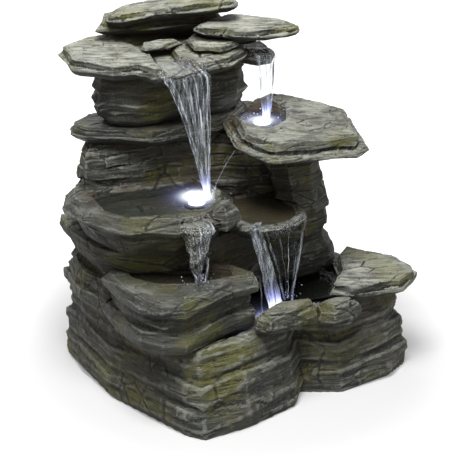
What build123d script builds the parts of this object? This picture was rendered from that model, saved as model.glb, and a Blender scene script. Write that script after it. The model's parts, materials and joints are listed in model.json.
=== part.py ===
from build123d import *
import os
from math import hypot

# Cascade fountain: cast slate stones stacked over a water tub, with a pump, a riser hose and three lights.
# Millimetres, +Z up. The front faces -Y and the service hatch +Y. The origin is on the floor, mid tub.

# Stack of stones, from the floor up
BASE_LENGTH = 460
BASE_DEPTH = 390
BASE_HEIGHT = 135
CHAMBER_HEIGHT = 115
MIDDLE_ROCK_HEIGHT = 130
MID_LAYER_HEIGHT = 28
UPPER_ROCK_HEIGHT = 82
TOP_SLAB_HEIGHT = 28
SECOND_LAYER_HEIGHT = 32
CAP_HEIGHT = 22

# Casting: floor, walls and the depth of one strata groove
TUB_FLOOR = 12
WALL = 12
CHAMBER_WALL = 28
RIM_WIDTH = 16
DECK = 12
BITE = 8

# Beds: the split layers of a stone, with every corner of each drawn in by its own share of the step
BED = 13
BED_STEP = 6
BED_JOINT = 1.5
BED_WAVE = 0.4
FLATNESS = 0.001
BED_TURN = 4
BED_SHARES = (0.1, 0.7, 0.35, 1, 0.5, 0, 0.85, 0.25, 0.6)

# Stones of the stack: length and depth, and the place of each middle
BASE_LEAN = 14
CHAMBER_SETBACK = 20
CHAMBER_DEPTH = 254
CHAMBER_REAR_SETBACK = 9
CHAMBER_LEAN = -27
CHAMBER_X = -4
MIDDLE_ROCK_LENGTH = 366
MIDDLE_ROCK_DEPTH = 188
MIDDLE_ROCK_AT = (-35, 66)
MID_LAYER_LENGTH = 298
MID_LAYER_DEPTH = 158
MID_LAYER_AT = (-69, 83)
UPPER_ROCK_LENGTH = 250
UPPER_ROCK_DEPTH = 146
UPPER_ROCK_AT = (-63, 83)
TOP_SLAB_LENGTH = 302
TOP_SLAB_DEPTH = 224
TOP_SLAB_AT = (-75, 78)
SECOND_LAYER_LENGTH = 204
SECOND_LAYER_DEPTH = 116
SECOND_LAYER_AT = (-48, 128)
CAP_LENGTH = 195
CAP_DEPTH = 150
CAP_AT = (-45, 92)
CAP_TILT = 7
CAP_TILT_AXIS = (1, 0.6, 0)

# Stones on the rim of the tub, each set in from the tub's own edges
LEFT_COURSE_LENGTH = 56
LEFT_COURSE_DEPTH = 180
LEFT_COURSE_HEIGHT = 56
LEFT_COURSE_FROM_LEFT = 20
LEFT_COURSE_Y = 62
LEDGE_LENGTH = 201
LEDGE_DEPTH = 200
LEDGE_HEIGHT = 80
LEDGE_FROM_LEFT = 84
LEDGE_FROM_FRONT = 140
RIM_STONE_LENGTH = 112
RIM_STONE_DEPTH = 54
RIM_STONE_HEIGHT = 32
RIM_STONE_X = -22
RIM_PEBBLE_LENGTH = 74
RIM_PEBBLE_DEPTH = 54
RIM_PEBBLE_HEIGHT = 34
RIM_PEBBLE_X = 66
RIM_PEBBLE_DROP = 14
RIM_STONE_FROM_FRONT = 33
RIM_PEBBLE_FROM_FRONT = 20
RIGHT_LEDGE_LENGTH = 159
RIGHT_LEDGE_DEPTH = 164
RIGHT_LEDGE_HEIGHT = 33
RIGHT_LEDGE_FROM_RIGHT = 80
RIGHT_LEDGE_FROM_FRONT = 74

# Stones round the middle pools
BOWL_LENGTH = 240
BOWL_DEPTH = 250
BOWL_HEIGHT = 66
BOWL_AT = (-144, 15)
BASIN_LENGTH = 142
BASIN_DEPTH = 148
BASIN_HEIGHT = 28
BASIN_AT = (5, -54)
FALL_STONE_LENGTH = 58
FALL_STONE_DEPTH = 62
FALL_STONE_DROP = 84
DIVIDER_LENGTH = 50
DIVIDER_DEPTH = 46
DIVIDER_HEIGHT = 40
DIVIDER_PROUD = 10
PIER_LENGTH = 110
PIER_DEPTH = 102
PIER_AT = (109, -21)
PIER_LEAN = (-26, 8)

# Right shelf with the upper pool
SHELF_LENGTH = 230
SHELF_DEPTH = 219
SHELF_THICKNESS = 36
SHELF_AT = (71, -47)
SHELF_TILT = 8
SHELF_TILT_AXIS = (1, 0.3, 0)
SHELF_SINK = 6

# Stones on the top slab
SPOUT_LENGTH = 56
SPOUT_DEPTH = 65
SPOUT_DROP = 6
SPOUT_AT = (52, 17)
RIGHT_SLAB_LENGTH = 139
RIGHT_SLAB_DEPTH = 126
RIGHT_SLAB_THICKNESS = 20
RIGHT_SLAB_GAP = 10
RIGHT_SLAB_AT = (27, 15)
CHANNEL_STONE_LENGTH = 70
CHANNEL_STONE_DEPTH = 34
CHANNEL_STONE_HEIGHT = 9
CHANNEL_STONE_AT = (-87, 66)
WEDGE_LENGTH = 70
WEDGE_DEPTH = 82
WEDGE_HEIGHT = 12
WEDGE_AT = (-27, 25)

# Pools: water is held between a level floor and the stone's own rim
BOWL_POOL_DEPTH = 22
BASIN_POOL_DEPTH = 14
SHELF_POOL_RISE = 12
LEDGE_POOL_DEPTH = 16
CHANNEL_DEPTH = 10
SPOUT_STEP = 2
SPILL_DROP = 6
POOL_SLOPE = 6

# Service hatch in the rear of the chamber
HATCH_X = -50
HATCH_WIDTH = 150
HATCH_HEIGHT = 88
HATCH_SILL = 12
HATCH_REBATE = 8
HATCH_CLEARANCE = 1.5
HATCH_SEAT_DEPTH = 32
HATCH_SEAL = 3
FINGER_WIDTH = 60
FINGER_HEIGHT = 12
FINGER_DEPTH = 8

# Cable gland in the rear of the chamber
GLAND_X = 90
GLAND_RISE = 22
GLAND_RADIUS = 8
GLAND_BORE = 4
GLAND_FLANGE = 4
GLAND_FLANGE_THICKNESS = 3
GLAND_SPOT_DEPTH = 12
GLAND_SHANK = 20

# Riser: the pump stands straight below the outlet in the top basin
RISER_AT = (-50, 104)
HOSE_BORE = 6
HOSE_WALL = 2
HOSE_FIT = 0.1
HOSE_WELL = 16
CLIP_HEIGHT = 7
CLIP_THICKNESS = 1.2
OUTLET_SHANK = 9
OUTLET_BORE = 4
OUTLET_FIT = 0.3
OUTLET_FLANGE = 15
OUTLET_FLANGE_HEIGHT = 3
OUTLET_SEAL = 2
OUTLET_NUT = 14
OUTLET_NUT_HEIGHT = 7
OUTLET_TAIL = 22

# Pump
FOOT_HEIGHT = 7
FOOT_RADIUS = 7
PUMP_WIDTH = 46
PUMP_LENGTH = 56
PUMP_HEIGHT = 46
PUMP_EDGE = 4
IMPELLER_RADIUS = 12.5
IMPELLER_GAP = 1.5
IMPELLER_WIDTH = 10
IMPELLER_PLAY = 1
HUB_RADIUS = 4.5
BACK_PLATE = 1.5
VANES = 6
VANE_THICKNESS = 1.6
MAGNET_RADIUS = 8.5
MAGNET_GAP = 1
MAGNET_LENGTH = 24
SHAFT_RADIUS = 1.5
RUNNING_FIT = 0.08
BUSH_RADIUS = 3.5
BUSH_LENGTH = 3
BUSH_SEAT = 1.5
COVER_THICKNESS = 3
COVER_RADIUS = 17
COVER_FIT = 0.15
EYE_RADIUS = 9
EYE_RIBS = 3
EYE_RIB = 2.5
STRAINER_LENGTH = 18
STRAINER_WALL = 2
STRAINER_SLOTS = 3
STRAINER_SLOT = 2.4
STRAINER_PITCH = 4
STRAINER_SLOT_MARGIN = 7
DIAL_RADIUS = 8
DIAL_HEIGHT = 5
DIAL_STEM = 2.5
DIAL_PLAY = 0.3
DIAL_POINTER = 2
DIAL_RETAINER = 5
ADAPTOR_COLLAR = 4
ADAPTOR_SOCKET = 8
ADAPTOR_BARB = 20
ADAPTOR_BORE = 4
ADAPTOR_COLLAR_RADIUS = 9

# Pool lights
LIGHT_RADIUS = 15
LIGHT_DEPTH = 14
LIGHT_WALL = 2
LIGHT_FLANGE = 4
LIGHT_RIM = 2.5
LIGHT_SEAL = 2
LIGHT_FIT = 0.4
LENS_SEAT = 2
LENS_HEIGHT = 3
LENS_CROWN = 3
LENS_SHOULDER = 0.7
CHIPS = 4
LEAD_HOLE = 8
BOARD_THICKNESS = 1.6
CHIP_SIDE = 3
CHIP_HEIGHT = 1
CHIP_RING = 6
LOWER_LIGHT_X = -8
LOWER_LIGHT_FROM_FRONT = 83
STAND_RADIUS = 21
STAND_HEIGHT = 34
STAND_WALL = 3
STAND_TOP = 4
STAND_WINDOW = 8

# Places on the bowl and on the shelf, as shares of that stone's half length and half depth
FALL_STONE_ON_BOWL = (0.04, -0.864)
DIVIDER_ON_BOWL = (0.475, -0.864)
LIGHT_ON_BOWL = (0.5, -0.28)
LIGHT_ON_SHELF = (-0.252, 0.301)

# Levels that follow from the heights
RIM = BASE_HEIGHT
CHAMBER_TOP = RIM + CHAMBER_HEIGHT
MIDDLE_TOP = CHAMBER_TOP + MIDDLE_ROCK_HEIGHT
LAYER_TOP = MIDDLE_TOP + MID_LAYER_HEIGHT
UPPER_TOP = LAYER_TOP + UPPER_ROCK_HEIGHT
SLAB_TOP = UPPER_TOP + TOP_SLAB_HEIGHT
SECOND_TOP = SLAB_TOP + SECOND_LAYER_HEIGHT
BOWL_TOP = CHAMBER_TOP + BOWL_HEIGHT
BOWL_FLOOR = BOWL_TOP - BOWL_POOL_DEPTH
LEFT_EDGE = -BASE_LENGTH / 2
FRONT_EDGE = -BASE_DEPTH / 2
REAR_EDGE = BASE_DEPTH / 2

# Outlines: corners as shares of a stone's half length and half depth, anticlockwise from the rear left
BASE_CORNERS = (
    (-0.90, 0.90), (-0.96, 0.50), (-1.00, 0.05), (-0.95, -0.40), (-0.88, -0.80), (-0.80, -0.93),
    (-0.48, -1.00), (-0.06, -0.93), (0.08, -0.80), (0.30, -0.97), (0.70, -1.00), (0.93, -0.90),
    (1.00, -0.50), (0.97, 0.10), (0.99, 0.60), (0.88, 0.92), (0.47, 1.00), (0.00, 0.96), (-0.48, 1.00))
CHAMBER_CORNERS = (
    (-0.88, 0.86), (-0.97, 0.36), (-1.00, -0.23), (-0.89, -0.58), (-0.65, -0.87), (-0.39, -1.00),
    (-0.12, -0.87), (0.26, -0.84), (0.57, -0.91), (0.80, -0.87), (0.92, -0.62), (0.99, -0.07),
    (1.00, 0.48), (0.90, 0.87), (0.50, 0.98), (0.02, 0.94), (-0.50, 1.00))
LEFT_COURSE_CORNERS = (
    (0.75, 0.92), (-0.25, 1.00), (-0.70, 0.55), (-1.00, 0.10), (-0.85, -0.50), (-0.35, -1.00),
    (0.80, -0.90), (1.00, 0.20))
LEDGE_CORNERS = (
    (-0.44, 1.00), (-0.89, 0.65), (-0.99, 0.05), (-1.00, -0.53), (-0.82, -0.85), (-0.50, -1.00),
    (-0.04, -0.97), (0.48, -0.85), (0.83, -0.91), (1.00, -0.65), (0.85, 0.05), (0.15, 0.95))
RIM_STONE_CORNERS = (
    (-1.00, 0.10), (-0.77, -0.70), (-0.02, -1.00), (0.71, -0.78), (1.00, -0.19), (0.88, 0.63),
    (0.04, 1.00), (-0.80, 0.78))
RIM_PEBBLE_CORNERS = (
    (-1.00, 0.04), (-0.62, -0.78), (0.19, -1.00), (0.95, -0.56), (1.00, 0.33), (0.24, 1.00),
    (-0.68, 0.85))
RIGHT_LEDGE_CORNERS = (
    (0.51, 1.00), (0.01, 0.76), (-0.40, 0.12), (-1.00, -0.34), (-0.75, -0.71), (-0.12, -0.85),
    (0.26, -1.00), (0.79, -0.80), (0.99, -0.61), (1.00, 0.05), (0.69, 0.63))
MIDDLE_ROCK_CORNERS = (
    (-0.74, 0.91), (-0.95, 0.64), (-1.00, 0.22), (-0.80, 0.00), (-0.56, -0.17), (-0.33, -0.26),
    (-0.07, -0.40), (0.19, -0.72), (0.54, -0.91), (0.83, -1.00), (0.96, -0.57), (1.00, 0.15),
    (0.92, 0.79), (0.50, 0.98), (-0.14, 1.00))
PIER_CORNERS = (
    (0.80, 1.00), (-0.57, 0.80), (-1.00, -0.37), (-0.76, -1.00), (0.02, -1.00), (0.65, -0.69),
    (1.00, 0.02))
BOWL_CORNERS = (
    (-0.38, 1.00), (-0.76, 0.80), (-0.97, 0.48), (-1.00, -0.04), (-0.88, -0.36), (-0.70, -0.62),
    (-0.50, -0.78), (-0.23, -0.94), (0.08, -1.00), (0.41, -0.97), (0.65, -0.86), (0.92, -0.47),
    (1.00, 0.36), (0.28, 0.88))
BOWL_POOL_CORNERS = (
    (-0.05, 0.44), (-0.60, 0.41), (-0.72, -0.09), (-0.62, -0.39), (-0.38, -0.54), (-0.02, -0.68),
    (0.30, -0.71), (0.52, -0.63), (0.72, -0.34), (0.77, 0.12), (0.53, 0.36))
BASIN_CORNERS = (
    (-0.94, 0.32), (-1.00, -0.22), (-0.89, -0.57), (-0.63, -0.84), (-0.24, -0.99), (0.21, -1.00),
    (0.61, -0.81), (0.89, -0.46), (1.00, 0.05), (0.92, 0.86), (-0.63, 1.00))
BASIN_POOL_CORNERS = (
    (-0.52, 0.86), (-0.58, 0.19), (-0.58, -0.41), (-0.46, -0.65), (-0.18, -0.78), (0.21, -0.80),
    (0.52, -0.65), (0.72, -0.35), (0.77, 0.19), (0.69, 0.86))
FALL_STONE_CORNERS = (
    (-0.24, 1.00), (-1.00, -0.10), (-0.38, -0.81), (0.45, -1.00), (1.00, -0.29), (0.93, 0.68))
DIVIDER_CORNERS = (
    (-0.40, 1.00), (-1.00, -0.22), (-0.36, -1.00), (0.76, -0.83), (1.00, 0.22), (0.56, 0.91))
MID_LAYER_CORNERS = (
    (-0.64, 0.95), (-0.91, 0.72), (-1.00, 0.41), (-0.93, 0.06), (-0.65, -0.37), (-0.45, -0.80),
    (-0.24, -0.90), (-0.01, -0.95), (0.30, -1.00), (0.60, -0.87), (0.87, -0.54), (1.00, 0.22),
    (0.87, 0.78), (0.13, 1.00))
SHELF_CORNERS = (
    (0.25, 1.00), (-0.27, 0.89), (-0.76, 0.53), (-1.00, -0.11), (-0.97, -0.35), (-0.83, -0.63),
    (-0.72, -0.75), (-0.27, -0.83), (0.09, -0.93), (0.41, -1.00), (0.62, -0.90), (0.79, -0.52),
    (1.00, -0.02), (0.81, 0.40), (0.46, 0.84))
SHELF_POOL_CORNERS = (
    (-0.58, 0.61), (-0.68, 0.20), (-0.64, -0.06), (-0.40, -0.19), (-0.08, -0.06), (0.15, 0.25),
    (0.11, 0.65), (-0.18, 0.80))
UPPER_ROCK_CORNERS = (
    (-0.71, 0.92), (-0.94, 0.44), (-1.00, 0.01), (-0.90, -0.34), (-0.68, -0.62), (-0.42, -0.75),
    (-0.08, -0.78), (0.28, -0.97), (0.64, -1.00), (0.88, -0.73), (1.00, -0.01), (0.83, 0.73),
    (0.14, 1.00))
TOP_SLAB_CORNERS = (
    (0.10, 0.93), (-0.43, 1.00), (-0.72, 0.86), (-0.87, 0.73), (-0.97, 0.31), (-1.00, 0.11),
    (-0.89, -0.18), (-0.78, -0.43), (-0.58, -0.54), (-0.52, -0.82), (-0.30, -0.96), (0.02, -0.96),
    (0.31, -1.00), (0.59, -0.82), (0.72, -0.62), (0.99, -0.34), (1.00, 0.20), (0.70, 0.73))
BASIN_ARM_CORNERS = (
    (-0.24, 0.48), (-0.24, -0.12), (-0.36, -0.52), (-0.48, -1.20), (0.02, -1.20), (-0.05, -0.52),
    (0.08, -0.08), (0.30, 0.02), (0.56, -0.18), (0.68, -0.40), (0.98, -0.40), (0.95, -0.04), (0.70, 0.20),
    (0.40, 0.48))
SPOUT_CHANNEL_CORNERS = (
    (-0.60, 1.20), (-0.62, -0.10), (-0.40, -1.30), (0.40, -1.30), (0.70, -0.10), (0.80, 1.20))
SPOUT_CORNERS = (
    (-0.86, 1.00), (-1.00, -0.05), (-0.57, -0.78), (0.00, -1.00), (0.50, -0.88), (0.93, -0.35),
    (1.00, 0.82))
SECOND_LAYER_CORNERS = (
    (-0.68, 0.97), (-1.00, 0.28), (-0.61, -0.17), (-0.27, -0.52), (0.08, -0.72),
    (0.47, -1.00), (0.80, -0.86), (1.00, -0.14), (0.76, 0.66), (0.08, 1.00))
RIGHT_SLAB_CORNERS = (
    (0.27, 1.00), (-0.51, 0.90), (-1.00, 0.54), (-0.93, 0.15), (-0.51, -0.46), (0.06, -0.84),
    (0.51, -1.00), (0.93, -0.97), (1.00, -0.56), (0.96, -0.08), (0.76, 0.40))
CAP_CORNERS = (
    (-0.46, 1.00), (-0.83, 0.79), (-1.00, 0.36), (-0.87, 0.10), (-0.31, -0.20), (0.14, -0.52),
    (0.45, -0.84), (0.70, -1.00), (0.82, -0.75), (1.00, -0.17), (0.69, 0.43), (0.16, 0.82))
CHANNEL_STONE_CORNERS = (
    (-1.00, 0.07), (-0.89, -0.60), (0.03, -1.00), (0.89, -0.73), (1.00, 0.20), (0.20, 1.00),
    (-0.60, 1.00))
WEDGE_CORNERS = (
    (-0.60, 0.80), (-1.00, -0.27), (-0.20, -1.00), (0.89, -0.80), (1.00, -0.12), (0.60, 0.51),
    (0.03, 1.00))
LEDGE_POOL_CORNERS = (
    (-0.50, 0.75), (-0.60, 0.25), (-0.42, -0.17), (-0.14, -0.37), (0.35, -0.53), (0.63, -0.57),
    (0.73, -0.35), (0.35, 0.15), (-0.14, 0.75))

# Strata: each pair is a share of the stone's height and how many bites the outline is drawn in there
BASE_STRATA = (
    (0, 0.6), (0.10, 0), (0.30, 0.2), (0.36, 0.9), (0.42, 0.5), (0.62, 0.9), (0.68, 1.9), (0.75, 1.5),
    (0.92, 1.9), (1, 2.6))
CHAMBER_STRATA = ((0, 1), (0.12, 0.3), (0.40, 0.5), (0.52, 1.6), (0.62, 1), (0.85, 0), (1, 0.5))
MIDDLE_ROCK_STRATA = ((0, 1.5), (0.2, 0.6), (0.45, 0), (0.52, 1.1), (0.6, 0.8), (0.9, 1.4), (1, 2.4))
BOWL_STRATA = ((0, 4.5), (0.2, 3.4), (0.45, 2.6), (0.55, 3), (0.66, 0.6), (0.78, 0), (1, 2.2))
BASIN_STRATA = ((0, 3), (0.35, 1.4), (0.7, 0.2), (0.85, 0), (1, 0.6))
FALL_STONE_STRATA = ((0, 2.4), (0.55, 1.3), (0.85, 0), (1, 0.6))
PIER_STRATA = (
    (0, 0.6), (0.18, 0), (0.3, 1.1), (0.4, 0.4), (0.62, 0.2), (0.72, 1.3), (0.82, 0.7), (1, 1.2))
LEDGE_STRATA = (
    (0, 0.6), (0.2, 0.2), (0.36, 0.9), (0.42, 1.8), (0.5, 1.2), (0.66, 1.5), (0.74, 0.2), (0.86, 0),
    (1, 1.2))
ROUND_STRATA = ((0, 0.6), (0.35, 0), (0.7, 0.5), (1, 1.7))
SHELF_STRATA = ((0, 2.6), (0.18, 0.8), (0.34, 0), (0.48, 0.5), (0.56, 2.4), (0.66, 1.6), (1, 2.6))
ROCK_STRATA = ((0, 2.6), (0.12, 1.4), (0.45, 0), (0.55, 0.8), (0.66, 0.4), (1, 1.3))
COURSE_STRATA = ((0, 0.8), (0.2, 0.2), (0.5, 0), (0.6, 0.9), (0.7, 0.5), (1, 1.6))
SECOND_STRATA = ((0, 3.4), (0.3, 1.2), (0.5, 0), (0.66, 0.2), (0.74, 0.8), (1, 1))
SLAB_STRATA = ((0, 2.4), (0.25, 1), (0.5, 0), (0.66, 0.2), (0.74, 0.8), (1, 1))
THIN_STRATA = ((0, 0.5), (0.4, 0), (1, 0.6))


def place(at, length, depth, share):
    """A point given by its shares of a stone's half length and half depth."""
    return at[0] + share[0] * length / 2, at[1] + share[1] * depth / 2


def corners(at, length, depth, shares):
    """Corner points of an outline whose corners are shares of its half length and half depth."""
    return [place(at, length, depth, share) for share in shares]


def inset(points, amount):
    """The outline with every side moved inwards, each kept parallel to itself."""
    return drawn_in(points, [amount] * len(points))


def drawn_in(points, amounts):
    """The outline with each corner drawn in by an amount of its own."""
    moved = []
    befores, afters = points[-1:] + points[:-1], points[1:] + points[:1]
    for before, here, after, amount in zip(befores, points, afters, amounts):
        normals = []
        for (x0, y0), (x1, y1) in ((before, here), (here, after)):
            run = hypot(x1 - x0, y1 - y0)
            normals.append(((y0 - y1) / run, (x1 - x0) / run))
        (ax, ay), (bx, by) = normals
        reach = amount / (1 + ax * bx + ay * by)
        moved.append((here[0] + (ax + bx) * reach, here[1] + (ay + by) * reach))
    return moved


def skin(rings):
    """A solid with flat faces between rings of points, closed by the first and the last ring."""
    faces = [Face(Wire.make_polygon(rings[0])), Face(Wire.make_polygon(rings[-1]))]
    for low, high in zip(rings, rings[1:]):
        for a, b, c, d in zip(low, low[1:] + low[:1], high[1:] + high[:1], high):
            flat = abs((b - a).cross(c - a).dot(d - a)) < FLATNESS
            for polygon in ([[a, b, c, d]] if flat else [[a, b, c], [a, c, d]]):
                faces.append(Face(Wire.make_polygon(polygon)))
    return Solid(Shell(faces))


def beds(strata, height):
    """The strata with each tall one split into beds that step in and out of each other."""
    split = [strata[0]]
    joint = BED_JOINT / height / 2
    for (low, first), (high, second) in zip(strata, strata[1:]):
        count = max(1, round((high - low) * height / BED))
        for k in range(1, count):
            share = low + (high - low) * k / count
            bites = first + (second - first) * k / count
            split += [(share - joint, bites), (share + joint, bites)]
        split.append((high, second))
    return split


def stone(points, bottom, height, strata, lean=(0, 0)):
    """A bedded stone whose outline is drawn in at each stratum and moved along by the lean as it rises."""
    rings = []
    cycle = len(BED_SHARES)
    mean = sum(BED_SHARES) / cycle
    for number, (share, bites) in enumerate(beds(strata, height)):
        own = [BED_SHARES[(int(BED_TURN) * number + i) % cycle] - mean for i in range(len(points))]
        ring = drawn_in(points, [bites * BITE + BED_STEP * step for step in own])
        rise = BED_WAVE * height * share * (1 - share)
        rings.append([
            Vector(x + lean[0] * share, y + lean[1] * share,
                   bottom + share * height + rise * (BED_SHARES[i % cycle] - mean))
            for i, (x, y) in enumerate(ring)])
    return skin(rings)


def plain_stone(points, bottom, height, strata):
    """A stone with its strata alone, for the courses that stand close about the hose."""
    return skin([
        [Vector(x, y, bottom + share * height) for x, y in inset(points, bites * BITE)]
        for share, bites in strata])


def prism(points, bottom, top):
    """A straight block on an outline."""
    return skin([[Vector(x, y, z) for x, y in points] for z in (bottom, top)])


def dish(points, floor, top, slope):
    """The space of a pool: an outline that narrows by the slope towards its floor."""
    low = [Vector(x, y, floor) for x, y in inset(points, slope)]
    return skin([low, [Vector(x, y, top) for x, y in points]])


def hollow(points, draw, bottom, height, lean=(0, 0)):
    """The space inside a casting, open below, with its outline drawn in by the wall."""
    ring = inset(points, draw)
    low = [Vector(x, y, bottom) for x, y in ring]
    return skin([low, [Vector(x + lean[0], y + lean[1], bottom + height) for x, y in ring]])


def main_solid(shape):
    """The largest solid that a cut leaves."""
    return max(shape.solids(), key=lambda solid: solid.volume)


def bed(shape, *others):
    """A stone cut to fit the stones that it lies on or against."""
    for other in others:
        shape = main_solid(shape - other)
    return shape


def upright(radius, bottom, top, at):
    """A vertical cylinder between two levels."""
    return Pos(at[0], at[1], bottom) * Solid.make_cylinder(radius, top - bottom)


def tube(outer, inner, bottom, top, at):
    """A vertical tube between two levels."""
    return main_solid(upright(outer, bottom, top, at) - upright(inner, bottom, top, at))


def along_y(radius, start, end, x, z):
    """A cylinder that lies along Y between two places."""
    return Solid.make_cylinder(radius, end - start, Plane((x, start, z), x_dir=(1, 0, 0), z_dir=(0, 1, 0)))


def block(x, y, z):
    """A box between the two limits given for each axis."""
    return Pos(x[0], y[0], z[0]) * Solid.make_box(x[1] - x[0], y[1] - y[0], z[1] - z[0])


def turned(profile, at, level):
    """A solid of revolution about a vertical axis, from (radius, height) points."""
    face = Face(Wire.make_polygon([(r, 0, z) for r, z in profile]))
    return Pos(at[0], at[1], level) * Solid.revolve(face, 360, Axis.Z)


# Places that follow from the tub's edges and the levels
CHAMBER_LENGTH = BASE_LENGTH - 2 * CHAMBER_SETBACK
CHAMBER_REAR = REAR_EDGE - CHAMBER_REAR_SETBACK
CHAMBER_AT = (CHAMBER_X, CHAMBER_REAR - CHAMBER_DEPTH / 2)
LEFT_COURSE_AT = (LEFT_EDGE + LEFT_COURSE_FROM_LEFT, LEFT_COURSE_Y)
LEDGE_AT = (LEFT_EDGE + LEDGE_FROM_LEFT, FRONT_EDGE + LEDGE_FROM_FRONT)
RIM_STONE_AT = (RIM_STONE_X, FRONT_EDGE + RIM_STONE_FROM_FRONT)
RIM_PEBBLE_AT = (RIM_PEBBLE_X, FRONT_EDGE + RIM_PEBBLE_FROM_FRONT)
RIGHT_LEDGE_AT = (BASE_LENGTH / 2 - RIGHT_LEDGE_FROM_RIGHT, FRONT_EDGE + RIGHT_LEDGE_FROM_FRONT)
FALL_STONE_AT = place(BOWL_AT, BOWL_LENGTH, BOWL_DEPTH, FALL_STONE_ON_BOWL)
DIVIDER_AT = place(BOWL_AT, BOWL_LENGTH, BOWL_DEPTH, DIVIDER_ON_BOWL)
MIDDLE_LIGHT_AT = place(BOWL_AT, BOWL_LENGTH, BOWL_DEPTH, LIGHT_ON_BOWL)
UPPER_LIGHT_AT = place(SHELF_AT, SHELF_LENGTH, SHELF_DEPTH, LIGHT_ON_SHELF)
LOWER_LIGHT_AT = (LOWER_LIGHT_X, FRONT_EDGE + LOWER_LIGHT_FROM_FRONT)
HATCH_SEAT = CHAMBER_REAR - HATCH_SEAT_DEPTH
HATCH_BOTTOM = RIM + HATCH_SILL
GLAND_Z = RIM + GLAND_RISE
GLAND_OUTSIDE = CHAMBER_REAR - GLAND_SPOT_DEPTH
GLAND_INSIDE = GLAND_OUTSIDE - GLAND_SHANK
BEHIND = CHAMBER_REAR + CHAMBER_DEPTH
CHANNEL_FLOOR = SLAB_TOP - CHANNEL_DEPTH
BASIN_TOP = CHAMBER_TOP + BASIN_HEIGHT
LEDGE_TOP = RIM + LEDGE_HEIGHT
SHELF_FLOOR = MIDDLE_TOP + SHELF_POOL_RISE
PUMP_BOTTOM = TUB_FLOOR + FOOT_HEIGHT
PUMP_TOP = PUMP_BOTTOM + PUMP_HEIGHT
PUMP_AXIS = PUMP_BOTTOM + PUMP_HEIGHT / 2
IMPELLER_ROOM = IMPELLER_WIDTH + 2 * IMPELLER_PLAY
PUMP_FRONT = RISER_AT[1] - COVER_THICKNESS - IMPELLER_ROOM / 2
PUMP_REAR = PUMP_FRONT + PUMP_LENGTH
IMPELLER_START = PUMP_FRONT + COVER_THICKNESS + IMPELLER_PLAY
ROTOR_START = PUMP_FRONT + COVER_THICKNESS + IMPELLER_ROOM
ROTOR_END = ROTOR_START + MAGNET_LENGTH + IMPELLER_PLAY
HOSE_BOTTOM = PUMP_TOP + ADAPTOR_COLLAR
HOSE_TOP = UPPER_TOP - OUTLET_NUT_HEIGHT - OUTLET_SEAL
HOSE_RADIUS = HOSE_BORE + HOSE_WALL
LIGHT_WELL = LIGHT_RADIUS + LIGHT_FIT
STAND_LEVEL = TUB_FLOOR + STAND_HEIGHT


def whole_stones():
    """Every stone before it is hollowed, cut to lie on its neighbours."""
    s = {}
    s["base_rock"] = stone(
        corners((0, 0), BASE_LENGTH, BASE_DEPTH, BASE_CORNERS),
        0, BASE_HEIGHT, BASE_STRATA, (0, BASE_LEAN))
    s["chamber_rock"] = stone(
        corners(CHAMBER_AT, CHAMBER_LENGTH, CHAMBER_DEPTH, CHAMBER_CORNERS),
        RIM, CHAMBER_HEIGHT, CHAMBER_STRATA, (CHAMBER_LEAN, 0))
    s["middle_rock"] = plain_stone(
        corners(MIDDLE_ROCK_AT, MIDDLE_ROCK_LENGTH, MIDDLE_ROCK_DEPTH, MIDDLE_ROCK_CORNERS),
        CHAMBER_TOP, MIDDLE_ROCK_HEIGHT, MIDDLE_ROCK_STRATA)
    s["mid_layer"] = plain_stone(
        corners(MID_LAYER_AT, MID_LAYER_LENGTH, MID_LAYER_DEPTH, MID_LAYER_CORNERS),
        MIDDLE_TOP, MID_LAYER_HEIGHT, SLAB_STRATA)
    s["upper_rock"] = stone(
        corners(UPPER_ROCK_AT, UPPER_ROCK_LENGTH, UPPER_ROCK_DEPTH, UPPER_ROCK_CORNERS),
        LAYER_TOP, UPPER_ROCK_HEIGHT, ROCK_STRATA)
    rim_stones(s)
    pool_stones(s)
    top_stones(s)
    return s


def rim_stones(s):
    """The stones on the rim of the tub."""
    s["front_left_ledge"] = bed(
        stone(corners(LEDGE_AT, LEDGE_LENGTH, LEDGE_DEPTH, LEDGE_CORNERS),
              RIM, LEDGE_HEIGHT, LEDGE_STRATA),
        s["chamber_rock"])
    s["left_course"] = bed(
        stone(corners(LEFT_COURSE_AT, LEFT_COURSE_LENGTH, LEFT_COURSE_DEPTH, LEFT_COURSE_CORNERS),
              RIM, LEFT_COURSE_HEIGHT, COURSE_STRATA),
        s["chamber_rock"], s["front_left_ledge"])
    s["right_ledge"] = bed(
        stone(corners(RIGHT_LEDGE_AT, RIGHT_LEDGE_LENGTH, RIGHT_LEDGE_DEPTH, RIGHT_LEDGE_CORNERS),
              RIM, RIGHT_LEDGE_HEIGHT, SLAB_STRATA),
        s["chamber_rock"])
    s["rim_stone_left"] = bed(
        stone(corners(RIM_STONE_AT, RIM_STONE_LENGTH, RIM_STONE_DEPTH, RIM_STONE_CORNERS),
              RIM, RIM_STONE_HEIGHT, ROUND_STRATA),
        s["front_left_ledge"])
    s["rim_stone_right"] = bed(
        stone(corners(RIM_PEBBLE_AT, RIM_PEBBLE_LENGTH, RIM_PEBBLE_DEPTH, RIM_PEBBLE_CORNERS),
              RIM - RIM_PEBBLE_DROP, RIM_PEBBLE_HEIGHT, ROUND_STRATA),
        s["base_rock"], s["rim_stone_left"], s["right_ledge"])


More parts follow.
